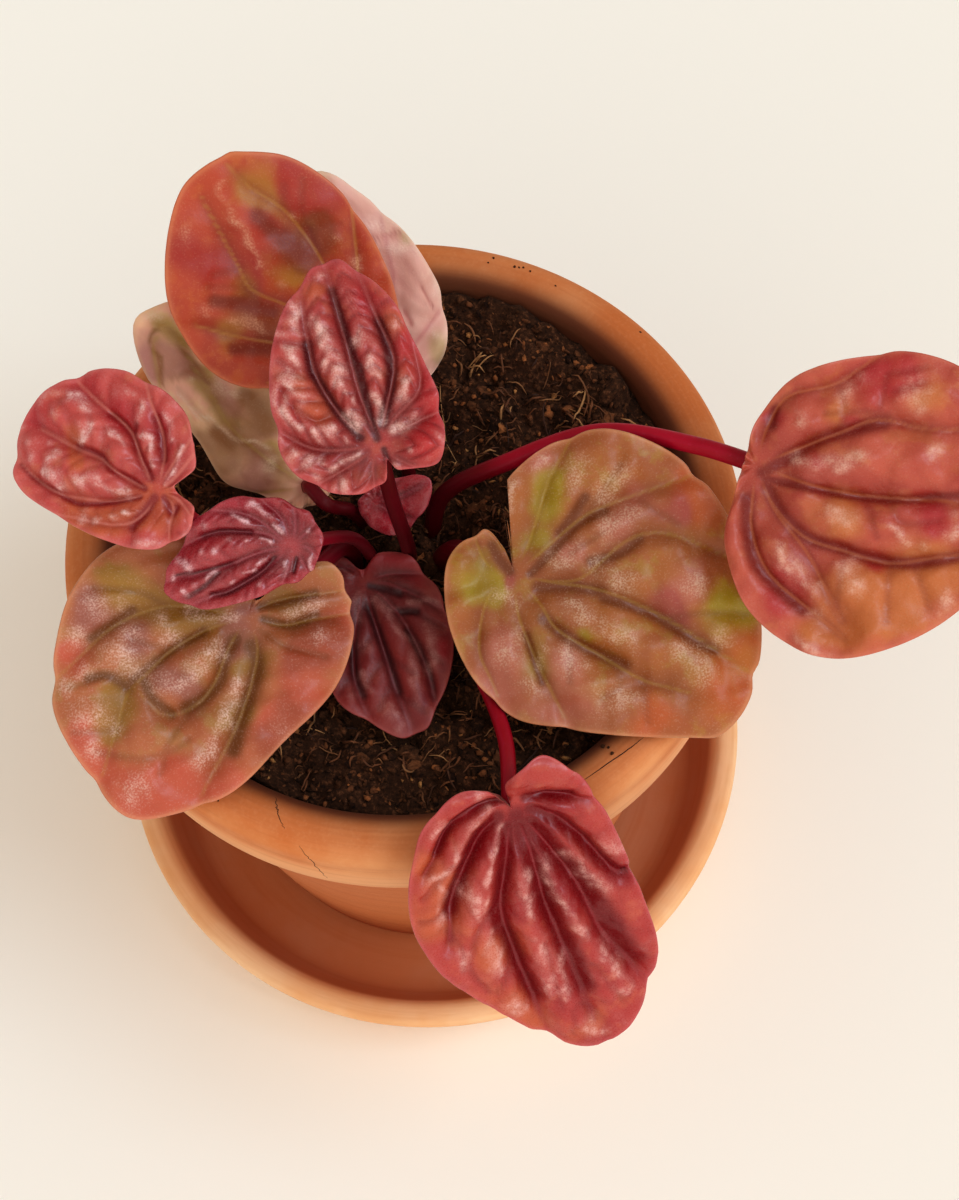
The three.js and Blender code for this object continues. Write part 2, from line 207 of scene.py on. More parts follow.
# A stronger orange than the saucer, with a pale collar, a darker tone of painted shade below the collar,
# and a dark brown stain where the soil wets it that is also painted shade inside the pot.
pot_clay = earthenware("earthenware_pot_unglazed", "#d48046", "#e4a26e", "#a6562a",
                       [(0.112, 0.103, 0.6, "#eeb88a"), (0.1135, 0.1165, 0.35, "#b9622f"),
                        (0.0995, 0.0975, 0.85, "#ba6430")],
                       (0.15, 0.0347, 0.039, 0.119, 0.9, "#5a2814"))
pot = turned_clay("terracotta_pot", [
    [drain_radius, saucer_floor], [38, saucer_floor], [40.2, saucer_floor], [41.2, saucer_floor + 1.2],
    [rim_radius - 4.6, collar_foot - 0.4], [rim_radius - 4.2, collar_foot], [rim_radius - 1.6, collar_foot],
    [rim_radius - 0.3, collar_foot + 0.8], [rim_radius, rim_top - 6], [rim_radius - 0.1, rim_top - 3],
    [rim_radius - 1.6, rim_top - 0.7], [rim_radius - 4, rim_top], [rim_inner + 3, rim_top - 0.3],
    [rim_inner + 0.9, rim_top - 1.6], [rim_inner, wall_top], [36.4, soil_base + 3], [34, soil_base],
    [drain_radius, soil_base]], pot_clay, closed=True)
fit(pot, "pot")


def tube_faces(start, rings, sides):
    """The faces of a closed tube, whose rings of points are numbered from start."""
    faces = []
    for k in range(rings - 1):
        for i in range(sides):
            a, b = start + k * sides + i, start + k * sides + (i + 1) % sides
            faces.append([a, b, b + sides, a + sides])
    faces.append([start + i for i in reversed(range(sides))])
    faces.append([start + (rings - 1) * sides + i for i in range(sides)])
    return faces


strand_sides = 4


def strand(path, thick, tone, points, faces, tints):
    """Adds a thin closed tube along a path, finer at both ends."""
    path = np.asarray(path, float)
    along = np.gradient(path, axis=0)
    along /= np.linalg.norm(along, axis=1)[:, None]
    side = np.cross(along, [0.31, 0.2, 0.93])
    side /= np.linalg.norm(side, axis=1)[:, None]
    other = np.cross(along, side)
    start = len(points)
    for k, spot in enumerate(path):
        fine = thick * (0.35 + 0.65 * math.sin(math.pi * (k + 0.5) / len(path)))
        for i in range(strand_sides):
            turn = 2 * math.pi * i / strand_sides
            points.append((spot + fine * (math.cos(turn) * side[k] + math.sin(turn) * other[k])).tolist())
    faces.extend(tube_faces(start, len(path), strand_sides))
    tints.extend([tone] * (len(path) * strand_sides))


points_between = 8
# Hairlines: a crack over the rim at the front left, a scratch below it, and a line along the front right.
# Each is a thickness and points of degrees round the pot, height and distance from the middle.
hairlines = [
    (0.09, [(-119, rim_top, 51.9), (-117.8, rim_top, 54), (-117.2, rim_top, 55), (-115, rim_top, 57.3)]),
    (0.07, [(-111.8, rim_top - 1.4, 59), (-109.8, rim_top - 5, 60), (-108.3, rim_top - 14, 60)]),
    (0.1, [(-48.5, rim_top, 56.5), (-51.6, rim_top, 56.1), (-56.3, rim_top, 55.6), (-61.5, rim_top, 55.5)])]
dust, tree, shader = new_material("soil_dust_in_cracks")
# Fine dark soil dust, quite matt, browner in specks of 1 mm where it is thin.
speckle = add(tree, "ShaderNodeTexNoise", {"Scale": 900.0, "Detail": 2.0})
grime = lay(tree, paint("#2c150b"), [(speckle, 0.4, 0.7, 1.0, "#5a3018")])
feed(tree, shader, {"Base Color": grime, "Roughness": 0.95})
# The marks lie on the pot's own surface.
surface = BVHTree.FromPolygons([tuple(v.co) for v in pot.data.vertices],
                               [tuple(p.vertices) for p in pot.data.polygons])
draw = np.random.default_rng(12)
points, faces, tints = [], [], []
for thick, marks in hairlines:
    path = []
    for share in np.linspace(0, len(marks) - 1, points_between * len(marks)):
        turn, height, reach = (float(np.interp(share, range(len(marks)), column)) for column in zip(*marks))
        turn = math.radians(turn + draw.normal(0, 0.15))
        spot = Vector((reach * math.cos(turn), reach * math.sin(turn), height))
        path.append(surface.find_nearest(spot / 1000)[0] * 1000)
    strand(path, thick, 0.0, points, faces, tints)
cracks = make_object("pot_hairlines", points, faces, [dust])
fit(cracks, None)

# Soil
# Potting soil of dark coir and peat: a lumpy bed of crumbs, bits of bark and loose pale fibres that
# stand up from it. It fills the pot to below the lip.
soil_top = 108
soil_rings = 46
soil_spokes = 150
bank_height = 5.5
floor_inner = 35.5
clearance = 0.3


def ruffle(x, y, size, seed):
    """A smooth random height from about -1 to 1, with swells of about one size."""
    draw = np.random.default_rng(seed)
    total = np.zeros_like(np.asarray(x, float) + np.asarray(y, float))
    for _ in range(7):
        turn, phase = draw.uniform(0, 2 * math.pi, 2)
        swell = size * draw.uniform(0.7, 1.5)
        total = total + np.sin((x * math.cos(turn) + y * math.sin(turn)) * math.pi / swell + phase)
    return total / 3.2


def lump(x, y):
    """The broad swells of the bed."""
    swell = 0.9 * np.sin(0.21 * x + 0.7) * np.cos(0.17 * y) + 0.8 * np.sin(0.38 * y - 0.26 * x + 2)
    return swell + 0.6 * np.cos(0.55 * x + 0.4 * y)


def heap(x, y):
    """The soil is banked up against the pot at the back and the right."""
    return bank_height * np.clip((0.5 * x + 0.87 * y - 8) / 34, 0, 1) ** 1.3


def bed(x, y):
    """The height of the soil, with clumps of 7 mm, lumps of 3 mm and crumbs of 1.4 mm."""
    clump = np.maximum(ruffle(x, y, 7, 3), -1) + 0.35 * lump(x, y)
    return soil_top + heap(x, y) + 1.8 * clump + 1.1 * ruffle(x, y, 3, 1) + 0.6 * ruffle(x, y, 1.4, 2)


def inside_at(z):
    """The radius of the pot's inside at a height."""
    return rim_inner - (wall_top - z) * (rim_inner - floor_inner) / (wall_top - soil_base)


def ring_faces(levels, columns):
    """The faces of a skin of rings of points, closed by a middle point before them and one after."""
    i = np.arange(columns)
    after = (i + 1) % columns
    foot, last = 1 + (levels - 1) * columns, 1 + levels * columns
    faces = np.stack([np.zeros(columns, int), 1 + i, 1 + after], 1).tolist()
    for low in range(1, foot, columns):
        high = low + columns
        faces += np.stack([low + i, high + i, high + after, low + after], 1).tolist()
    return faces + np.stack([foot + i, np.full(columns, last), foot + after], 1).tolist()


coir, tree, shader = new_material("coir_and_peat_loose_damp")
# Damp and matt. Each crumb has its own brown, from almost black to rust, and a surface of fibres that
# cross every millimetre or so.
place = add(tree, "ShaderNodeTexCoord", out="Object")
tint = add(tree, "ShaderNodeAttribute", out="Fac", attribute_name="tint")
fluff = add(tree, "ShaderNodeTexNoise", {"Vector": place, "Scale": 900.0, "Detail": 4.0, "Roughness": 0.7})
strands = add(tree, "ShaderNodeTexVoronoi", {"Vector": place, "Scale": 700.0}, feature="DISTANCE_TO_EDGE")
earth = lay(tree, paint("#2e180d"), [(tint, 0.1, 0.35, 1.0, "#50301c"), (tint, 0.35, 0.6, 1.0, "#784a2e"),
                                     (tint, 0.6, 0.8, 1.0, "#a8683c"), (tint, 0.8, 1.0, 1.0, "#c89058"),
                                     (fluff, 0.5, 0.72, 0.55, "#946040"), (fluff, 0.5, 0.3, 0.65, "#160b06")])
rough = add(tree, "ShaderNodeMath", {0: fluff, 1: strands}, operation="ADD")
bump = add(tree, "ShaderNodeBump", {"Height": rough, "Strength": 0.8, "Distance": 0.0006})
feed(tree, shader, {"Base Color": earth, "Normal": bump, "Roughness": 0.95, "Specular IOR Level": 0.2})

draw = np.random.default_rng(31)
edge = inside_at(soil_top) - clearance
points = [[0, 0, float(bed(0, 0))]]
for ring in range(1, soil_rings + 1):
    for i in range(soil_spokes):
        turn = 2 * math.pi * i / soil_spokes
        out = edge + 0.15 * float(heap(edge * math.cos(turn), edge * math.sin(turn)))
        x, y = out * ring / soil_rings * math.cos(turn), out * ring / soil_rings * math.sin(turn)
        points.append([x, y, float(bed(x, y))])
wall_levels = (60.0, float(soil_base))
for level in wall_levels:
    for i in range(soil_spokes):
        turn = 2 * math.pi * i / soil_spokes
        out = inside_at(level) - clearance
        points.append([out * math.cos(turn), out * math.sin(turn), level])
points.append([0, 0, float(soil_base)])
faces = ring_faces(soil_rings + len(wall_levels), soil_spokes)
bed_tone = 0.22
tints = [bed_tone] * len(points)


def round_grain(subdivisions):
    """The points and faces of a ball of radius 1, from which a crumb is dented."""
    work = bmesh.new()
    bmesh.ops.create_icosphere(work, subdivisions=subdivisions, radius=1.0)
    grain = np.array([v.co[:] for v in work.verts]), [[v.index for v in f.verts] for f in work.faces]
    work.free()
    return grain


def scatter(count, small, large, subdivisions, lift, squash):
    """Strews uneven crumbs over the bed. Most of them are small."""
    shape, shape_faces = round_grain(subdivisions)
    for _ in range(count):
        turn, out = draw.uniform(0, 2 * math.pi), math.sqrt(draw.uniform(0, 1))
        size = small + (large - small) * draw.uniform(0, 1) ** 2
        out *= edge - size * 0.8
        x, y = out * math.cos(turn), out * math.sin(turn)
        axes = draw.normal(size=(3, 3))
        turned, _ = np.linalg.qr(axes)
        dents = 1 + 0.45 * draw.uniform(-1, 1, len(shape))
        grain = shape * dents[:, None] * size * np.array([1, draw.uniform(0.4, 1), draw.uniform(squash, 0.7)])
        start = len(points)
        points.extend((grain @ turned.T + [x, y, float(bed(x, y)) + size * lift]).tolist())
        faces.extend([[start + k for k in f] for f in shape_faces])
        tints.extend([float(np.clip(draw.normal(0.4, 0.23), 0, 1))] * len(shape))


scatter(220, small=0.9, large=2.6, subdivisions=2, lift=0.0, squash=0.3)
scatter(7500, small=0.25, large=0.9, subdivisions=1, lift=0.4, squash=0.15)
# Crumbs that were spilt on the rim: degrees round the pot, distance from the middle and size.
bead, bead_faces = round_grain(1)
for turn, reach, size in ((-54.5, 51.6, 0.4), (-54, 53, 0.25), (-54.3, 54.6, 0.35), (-62.2, 56.4, 0.2),
                          (68.3, 58, 0.25), (69, 56.2, 0.2), (64, 57, 0.28), (63.2, 57.3, 0.2),
                          (62.5, 57.6, 0.24), (61, 57.3, 0.2), (55.4, 56.2, 0.2), (-127.5, 58, 0.18)):
    x, y = reach * math.cos(math.radians(turn)), reach * math.sin(math.radians(turn))
    start = len(points)
    rest = surface.find_nearest(Vector((x, y, rim_top + 1)) / 1000)[0] * 1000
    dents = 1 + 0.3 * draw.uniform(-1, 1, len(bead))
    points.extend((bead * dents[:, None] * size + rest + [0, 0, size * 0.4]).tolist())
    faces.extend([[start + k for k in f] for f in bead_faces])
    tints.extend([0.3] * len(bead))
soil = make_object("coir_soil", points, faces, [coir])
soil.data.attributes.new("tint", "FLOAT", "POINT").data.foreach_set("value", tints)
fit(soil, "soil")

# The loose fibres and splinters of coir husk that lie on the soil: dry, tan and springy.
husk, tree, shader = new_material("coir_fibre_dry")
# Matt straw, from dark brown to tan by the fibre's own tint.
tint = add(tree, "ShaderNodeAttribute", out="Fac", attribute_name="tint")
straw = lay(tree, paint("#3c1e0e"), [(tint, 0.0, 0.55, 1.0, "#7c4a28"), (tint, 0.55, 1.0, 1.0, "#c4925e")])
feed(tree, shader, {"Base Color": straw, "Roughness": 0.7})

fibre_count = 900
fibre_steps = 7
points, faces, tints = [], [], []
for _ in range(fibre_count):
    turn, out = draw.uniform(0, 2 * math.pi), (edge - 4) * math.sqrt(draw.uniform(0, 1))
    x, y = out * math.cos(turn), out * math.sin(turn)
    length = draw.uniform(1.5, 4.5) if draw.uniform() < 0.94 else draw.uniform(6, 14)
    heading, curve = draw.uniform(0, 2 * math.pi), draw.normal(0, 0.9)
    path = []
    lift = draw.uniform(-0.3, 1.2)
    for k in range(fibre_steps + 1):
        arch = lift * math.sin(math.pi * k / fibre_steps)
        path.append([x, y, float(bed(x, y)) + 0.9 + arch + draw.normal(0, 0.12)])
        x += length / fibre_steps * math.cos(heading)
        y += length / fibre_steps * math.sin(heading)
        heading += curve / fibre_steps + draw.normal(0, 0.12)
    if max(math.hypot(p[0], p[1]) for p in path) < edge - 0.8:
        tone = float(np.clip(draw.normal(0.5, 0.25), 0, 1))
        strand(path, draw.uniform(0.09, 0.26), tone, points, faces, tints)
fibres = make_object("coir_fibres", points, faces, [husk])
fibres.data.attributes.new("tint", "FLOAT", "POINT").data.foreach_set("value", tints)
fit(fibres, None)

# Leaves and their stalks
# Each leaf is one thick, watery blade that grew on its own round stalk from the crown in the soil.
# The veins are sunk in the upper side and the flesh between them is raised in ripples and beads.


def unit(v):
    """The vector with a length of 1."""
    v = np.asarray(v, float)
    return v / np.linalg.norm(v)


def leaf_skin(name, tones, shade_tone, vein, margin, highlight_tone, tints=(), line=0.5, roughness=0.36, shine=0.6,
              pebble=0.6, net=0.0, wet=0.05, grit=0.07, thread=0.3):
    """Living leaf skin, thick and waxy. The eye sees gloss broken up by small pebbles and a finer grain of
    cells, a deeper colour down in the furrows with painted shade, a thin line along each vein, and painted
    highlights on the crests with pale specks of painted sparkle. Three tones mingle, and the tints are laid
    over them in patches. Line and thread are the strength of the dark groove of painted shade and of the
    fine line of a vein, shine that of the painted highlights, pebble and grit how much the pebbles and
    cells break them up, net the height of a net of seams, and wet the gloss over it all."""
    material, tree, shader = new_material(name)
    place = add(tree, "ShaderNodeTexCoord", out="Object")
    # The tones change over some 11 mm and the tints over 5 mm. The pebbles are 1.6 mm apart.
    mottle, drift = (add(tree, "ShaderNodeTexNoise",
                         {"Vector": place, "Scale": scale, "Detail": 3.0, "Roughness": 0.6})
                     for scale in (90.0, 210.0))
    # The cells are 0.1 mm wide. The grain is drawn at 0.3 mm, or it would not show. It breaks up the
    # painted highlights and lays pale specks of cell grain and painted sparkle.
    grain = add(tree, "ShaderNodeTexNoise", {"Vector": place, "Scale": 3200.0, "Detail": 1.0})
    dome = add(tree, "ShaderNodeTexVoronoi", {"Vector": place, "Scale": 620.0}, feature="F1")
    dome = add(tree, "ShaderNodeMapRange", {0: dome, 1: 0.05, 2: 0.75, 3: 1.0, 4: 0.0},
               interpolation_type="SMOOTHSTEP")
    mask = {key: add(tree, "ShaderNodeAttribute", out="Fac", attribute_name=key)
            for key in ("valley", "shade", "groove", "hair", "branch", "light", "rim")}
    spots = []
    for i in range(len(tints)):
        spot = add(tree, "ShaderNodeAttribute", out="Fac", attribute_name=f"tint_{i}")
        spots.append(add(tree, "ShaderNodeMath", {0: drift, 1: 0.6, 2: spot}, operation="MULTIPLY_ADD"))
    dapple = add(tree, "ShaderNodeMapRange", {0: dome, 3: 1 - pebble, 4: 1.0})
    sparkle = add(tree, "ShaderNodeMapRange", {0: grain, 1: 0.36, 2: 0.64, 3: 1 - 5 * grit, 4: 1.0})
    # Painted highlight: the highlight tone on the crests, broken up by the pebbles and the grain.
    painted_highlight = add(tree, "ShaderNodeMath", {0: mask["light"], 1: dapple}, operation="MULTIPLY")
    painted_highlight = add(tree, "ShaderNodeMath", {0: painted_highlight, 1: sparkle}, operation="MULTIPLY")
    # The shade tone goes into the valleys, folds, creases and grooves as painted shade.
    colour = lay(tree, paint(tones[0]),
                 [(mottle, 0.38, 0.62, 1.0, tones[1]), (drift, 0.5, 0.68, 0.7, tones[2])]
                 + [(spot, 0.35, 1.2, 0.75, code) for spot, code in zip(spots, tints)]
                 + [(mask["valley"], 0.1, 1.0, 0.4, shade_tone), (mask["branch"], 0.0, 1.0, 0.3, shade_tone),
                    (mask["shade"], 0.0, 1.0, 0.9, shade_tone), (mask["groove"], 0.0, 1.0, line, shade_tone),
                    (mask["hair"], 0.0, 1.0, thread, vein), (painted_highlight, 0.0, 1.0, shine, highlight_tone),
                    (grain, 0.55, 0.75, grit, highlight_tone),
                    (mask["rim"], 0.0, 1.0, 0.4, margin)])
    gloss = add(tree, "ShaderNodeMapRange",
                {0: grain, 1: 0.3, 2: 0.7, 3: roughness - 0.06, 4: roughness + 0.12})
    relief = add(tree, "ShaderNodeMath", {0: dome, 1: 5 * pebble, 2: grain}, operation="MULTIPLY_ADD")
    if net:
        # The seams of the net run 1.4 mm apart.
        lace = add(tree, "ShaderNodeTexVoronoi", {"Vector": place, "Scale": 700.0},
                   feature="DISTANCE_TO_EDGE")
        seam = add(tree, "ShaderNodeMapRange", {0: lace, 2: 0.2, 4: net})
        relief = add(tree, "ShaderNodeMath", {0: seam, 1: grain}, operation="ADD")
    bump = add(tree, "ShaderNodeBump", {"Height": relief, "Strength": 0.6, "Distance": 0.00005})
    feed(tree, shader, {"Base Color": colour, "Roughness": gloss, "Normal": bump, "Specular IOR Level": 0.4,
                        "Coat Weight": wet, "Coat Roughness": 0.24, "Subsurface Weight": 0.04,
                        "Subsurface Scale": 0.0012})
    return material


blade_thickness = 1.1
rim_thickness = 0.45
rim_turns = (50, 0, -50)
notch_depth = 0.7
notch_width = 1.6
pucker = 0.4
crest_height = 0.25
rib_height = 0.5


def eased(t, start, end, rise, fall):
    """The point at t of a cubic stretch, which leaves its start and meets its end along two slopes."""
    return ((2 * t ** 3 - 3 * t ** 2 + 1) * start + (t ** 3 - 2 * t ** 2 + t) * rise
            + (3 * t ** 2 - 2 * t ** 3) * end + (t ** 3 - t ** 2) * fall)


def route_points(knots, steps):
    """A smooth line through the knots, with each stretch eased by the root of its length."""
    knots = np.array(knots, float)
    knots = np.vstack([2 * knots[0] - knots[1], knots, 2 * knots[-1] - knots[-2]])
    line = []
    for p0, p1, p2, p3 in zip(knots[:-3], knots[1:-2], knots[2:-1], knots[3:]):
        g0, g1, g2 = (math.sqrt(np.linalg.norm(b - a)) for a, b in ((p0, p1), (p1, p2), (p2, p3)))
        rise = ((p1 - p0) / g0 - (p2 - p0) / (g0 + g1) + (p2 - p1) / g1) * g1
        fall = ((p2 - p1) / g1 - (p3 - p1) / (g1 + g2) + (p3 - p2) / g2) * g1
        line += [eased(t, p1, p2, rise, fall) for t in np.arange(steps) / steps]
    return np.array(line + [knots[-2]])


def rim_of(outline):
    """The direction and reach of points on a smooth closed outline, taken in 12 rounds. The direction
    only grows, so a lobe that hooks back past the stalk is cut along it."""
    knots = np.array(outline, float)
    before, after, beyond = np.roll(knots, 1, 0), np.roll(knots, -1, 0), np.roll(knots, -2, 0)
    rise, fall = (after - before) / 2, (beyond - knots) / 2
    rim = np.vstack([eased(t, knots, after, rise, fall) for t in np.arange(0, 1, 1 / 12)])
    angle = np.unwrap(np.arctan2(rim[:, 1], rim[:, 0]))
    if angle[-1] < angle[0]:
        rim, angle = rim[::-1], angle[::-1]
    angle = np.maximum.accumulate(angle + 1e-6 * np.arange(len(rim)))
    return angle, np.hypot(rim[:, 0], rim[:, 1])


def from_line(x, y, knots):
    """Distance of every point from a smooth line through the knots."""
    line = route_points(knots, 4)
    best = np.full(np.broadcast(x, y).shape, 1e9)
    for (ax, ay), (bx, by) in zip(line[:-1], line[1:]):
        dx, dy = bx - ax, by - ay
        share = np.clip(((x - ax) * dx + (y - ay) * dy) / (dx * dx + dy * dy), 0, 1)
        best = np.minimum(best, np.hypot(x - ax - share * dx, y - ay - share * dy))
    return best


def run_on(line):
    """The line with one more stretch in the way that it ends."""
    last = np.subtract(line[-1], line[-2])
    return [*line, (line[-1] + 0.6 * last).tolist()]


def close_blade(name, skins, at, up, top, low, step, masks):
    """Joins the two sides of a blade by a rounded margin, and gives every point its masks."""
    rings, columns = top.shape[:2]
    out = top[-1] - top[-2]
    out -= (out @ up)[:, None] * up
    out /= np.linalg.norm(out, axis=1)[:, None]
    core = (top[-1] + low[-1]) / 2
    edge_rings = [core + rim_thickness / 2 * (math.cos(turn) * out + math.sin(turn) * up)
                  for turn in map(math.radians, rim_turns)]
    sheet = np.concatenate([top, np.array(edge_rings), low[::step]]).reshape(-1, 3)
    points = np.vstack([at[None, :], sheet, (at - blade_thickness * up)[None, :]])
    faces = ring_faces(len(sheet) // columns, columns)
    piece = make_object(name, points, faces, skins)
    turn_over = columns * (1 + rings + 1)
    piece.data.polygons.foreach_set("material_index", [0] * turn_over + [1] * (len(faces) - turn_over))
    for key, value in masks.items():
        value = np.broadcast_to(value, (rings, columns))
        rows = np.concatenate([value, np.repeat(value[-1:], len(rim_turns), 0), value[::step]]).reshape(-1)
        rows = np.concatenate([value[0, :1], rows, value[0, :1]])
        piece.data.attributes.new(key, "FLOAT", "POINT").data.foreach_set("value", rows)
    return piece


def grow_blade(name, upper, under, at, tip, face, outline, veins, ripple, furrow, cup, droop, wave, beads,
               lumps, branches=(), lights=(), shades=(), tints=(), sheen=0.35, depth=0.6, grid=(340, 68),
               raised=False):
    """A blade. All lengths are in millimetres: at is where the stalk joins, and the outline, veins and
    branches are measured along the line to the tip and to its left. The skin swells to the height ripple
    between the main veins, over the width furrow, and less at the branches. Beads (spacing, depth) stand
    in rows on it, and lumps is the height of uneven bulges. The blade bends by cup all round and by droop
    at the tip, and wave is that of its margin. Lights are crests with painted highlights and shades deep
    folds with painted shade (half width, line); tints are patches of other colours (x, y, radius). Sheen
    is the painted highlight on every swelling, depth that of the folds, and a raised blade shows the
    underside, where veins stand out. The furrows, creases and dents between beads get painted shade."""
    at, along = np.array(at, float), np.array(tip, float) - at
    length = np.linalg.norm(along)
    along = along / length
    up = np.array(face, float)
    up = unit(up - up.dot(along) * along)
    left = np.cross(up, along)
    columns, rings = grid
    phi = np.linspace(-math.pi, math.pi, columns, endpoint=False)[None, :]
    rho = (np.arange(1, rings + 1) / rings)[:, None]
    reach = np.interp(phi, *rim_of(outline), period=2 * math.pi)
    # The margin is drawn in a little where a vein comes to it.
    ends = [from_line(reach * np.cos(phi), reach * np.sin(phi), run_on(line)) for line in veins]
    reach = (reach - notch_depth * np.exp(-(np.minimum.reduce(ends) / notch_width) ** 2)) * rho
    x, y = reach * np.cos(phi), reach * np.sin(phi)
    to_veins = [from_line(x, y, run_on(line)) for line in veins]
    to_branches = [from_line(x, y, line) for line in branches]
    near = np.minimum.reduce(to_veins)
    near_branch = np.minimum.reduce(to_branches) if branches else np.full(near.shape, 99.0)
    swell, fold = 1.0, 1.0
    for gap in to_veins:
        swell = swell * (1 - np.exp(-(gap / furrow) ** 1.2))
    for gap in to_branches:
        fold = fold * (1 - np.exp(-(gap / (furrow * 0.45)) ** 1.2))
    sway_x, sway_y = x + 0.5 * ruffle(x, y, 2.6, 21), y + 0.5 * ruffle(x, y, 2.6, 22)
    crest, gully = np.zeros(near.shape), np.zeros(near.shape)
    # Lights raise the crests a little and mark them for painted highlights; shades sink the folds and mark
    # them for painted shade.
    for half, line in lights:
        line = line if len(line) > 1 else [line[0], [line[0][0] + 0.1, line[0][1]]]
        crest = np.maximum(crest, np.exp(-(from_line(sway_x, sway_y, line) / half / 1.25) ** 2))
    for half, line in shades:
        gully = np.maximum(gully, np.exp(-(from_line(x, y, line) / half) ** 2))
    spacing, dent = beads
    phase = (reach - 0.8 * near) / spacing + 0.35 * ruffle(x, y, spacing * 2, 5)
    bead = np.abs(np.sin(math.pi * phase)) ** 0.7
    bead = 1 - (1 - bead) * np.clip(near / 1.2 - 0.2, 0, 1) * np.clip(reach / 5, 0, 1)
    fade = 1 - 0.4 * rho ** 8
    height = ripple * fade * swell * (1 - pucker * (1 - fold)) - dent * (1 - bead) * fade
    bulge = ruffle(x, y, 4.5, 8) + 0.45 * ruffle(x, y, 2.1, 18)
    height = height + lumps * bulge * np.minimum(1, reach / 6) + crest_height * crest
    height = height - depth * gully * fade * np.minimum(1, reach / 4)
    height = (-0.6 if raised else 1.0) * height + wave * np.sin(9 * phi + at[0]) * rho ** 3
    height = height + cup * (reach / length) ** 2 - droop * (np.maximum(0, x) / length) ** 2

    apart = np.minimum(1, (reach / length / 0.12) ** 2)
    # The valley, groove, branch and shade masks place painted shade; the light mask places painted
    # highlights.
    masks = {"valley": (1 - swell) * (1 - rho ** 8) * (0.4 + 0.6 * apart),
             "groove": np.exp(-(near / 0.8) ** 2) * (1 - 0.5 * rho ** 4) * apart,
             "hair": np.exp(-(near / 0.3) ** 2) * apart, "shade": gully * fade,
             "light": np.clip(crest * (0.85 + 0.25 * ruffle(x, y, 2.4, 19)) + sheen * swell ** 2 * bead ** 2
                              * (0.6 + 0.6 * ruffle(x, y, 3.5, 9)), 0, 1),
             "branch": np.maximum(np.exp(-(near_branch / 0.7) ** 2), (1 - bead) * min(1.0, dent * 2)),
             "rim": np.exp(-(1 - rho) * reach / rho / 0.6)}
    warp_x, warp_y = x + 1.2 * ruffle(x, y, 5, 11), y + 1.2 * ruffle(x, y, 5, 12)
    for i, spots in enumerate(tints):
        total = sum(np.exp(-((warp_x - sx) ** 2 + (warp_y - sy) ** 2) / r ** 2) for sx, sy, r in spots)
        masks[f"tint_{i}"] = np.minimum(1, total)

    top = at + x[..., None] * along + y[..., None] * left + height[..., None] * up
    thick = blade_thickness - (blade_thickness - rim_thickness) * np.clip((rho - 0.8) / 0.2, 0, 1) ** 2
    rib = rib_height * np.exp(-(near / 0.7) ** 2) * (1 - rho ** 3) * np.minimum(1, reach / 3)
    low = top - (thick + rib)[..., None] * up
    # The side that is turned away gets half as many rings.
    return close_blade(name, [upper, under], at, up, top, low, -1 if raised else -2, masks)


stalk_skin, tree, shader = new_material("leaf_stalk_skin_smooth")
# Smooth watery stalk skin: deep pink to crimson in a blush that changes over 17 mm, darkened by painted
# shade near the crown, glossy, with faint lengthwise streaks and fine specks under 1 mm.
place = add(tree, "ShaderNodeTexCoord", out="Object")
blush = add(tree, "ShaderNodeTexNoise", {"Vector": place, "Scale": 60.0, "Detail": 3.0})
fleck = add(tree, "ShaderNodeTexNoise", {"Vector": place, "Scale": 1300.0, "Detail": 2.0})
flute = add(tree, "ShaderNodeAttribute", out="Fac", attribute_name="flute")
flat = add(tree, "ShaderNodeVectorMath", {0: place, 1: (1, 1, 0)}, operation="MULTIPLY")
out = add(tree, "ShaderNodeVectorMath", {0: flat}, "Value", operation="LENGTH")
# The wash by the distance from the middle is painted shade near the crown, under the leaves.
skin = lay(tree, paint("#940018"), [(blush, 0.38, 0.65, 1.0, "#ae0a2c"), (flute, 0.0, 1.0, 0.3, "#a4143a"),
                                    (fleck, 0.55, 0.75, 0.15, "#b83a58"),
                                    (out, 0.024, 0.01, 0.8, "#46080e")])
bump = add(tree, "ShaderNodeBump", {"Height": fleck, "Strength": 0.25, "Distance": 0.0001})
feed(tree, shader, {"Base Color": skin, "Normal": bump, "Roughness": 0.4, "Specular IOR Level": 0.22,
                    "Subsurface Weight": 0.06, "Subsurface Scale": 0.0015})
stalk_sides = 20
stalk_steps = 12
flutes_round = 5
flute_depth = 0.035
root_depth = 12


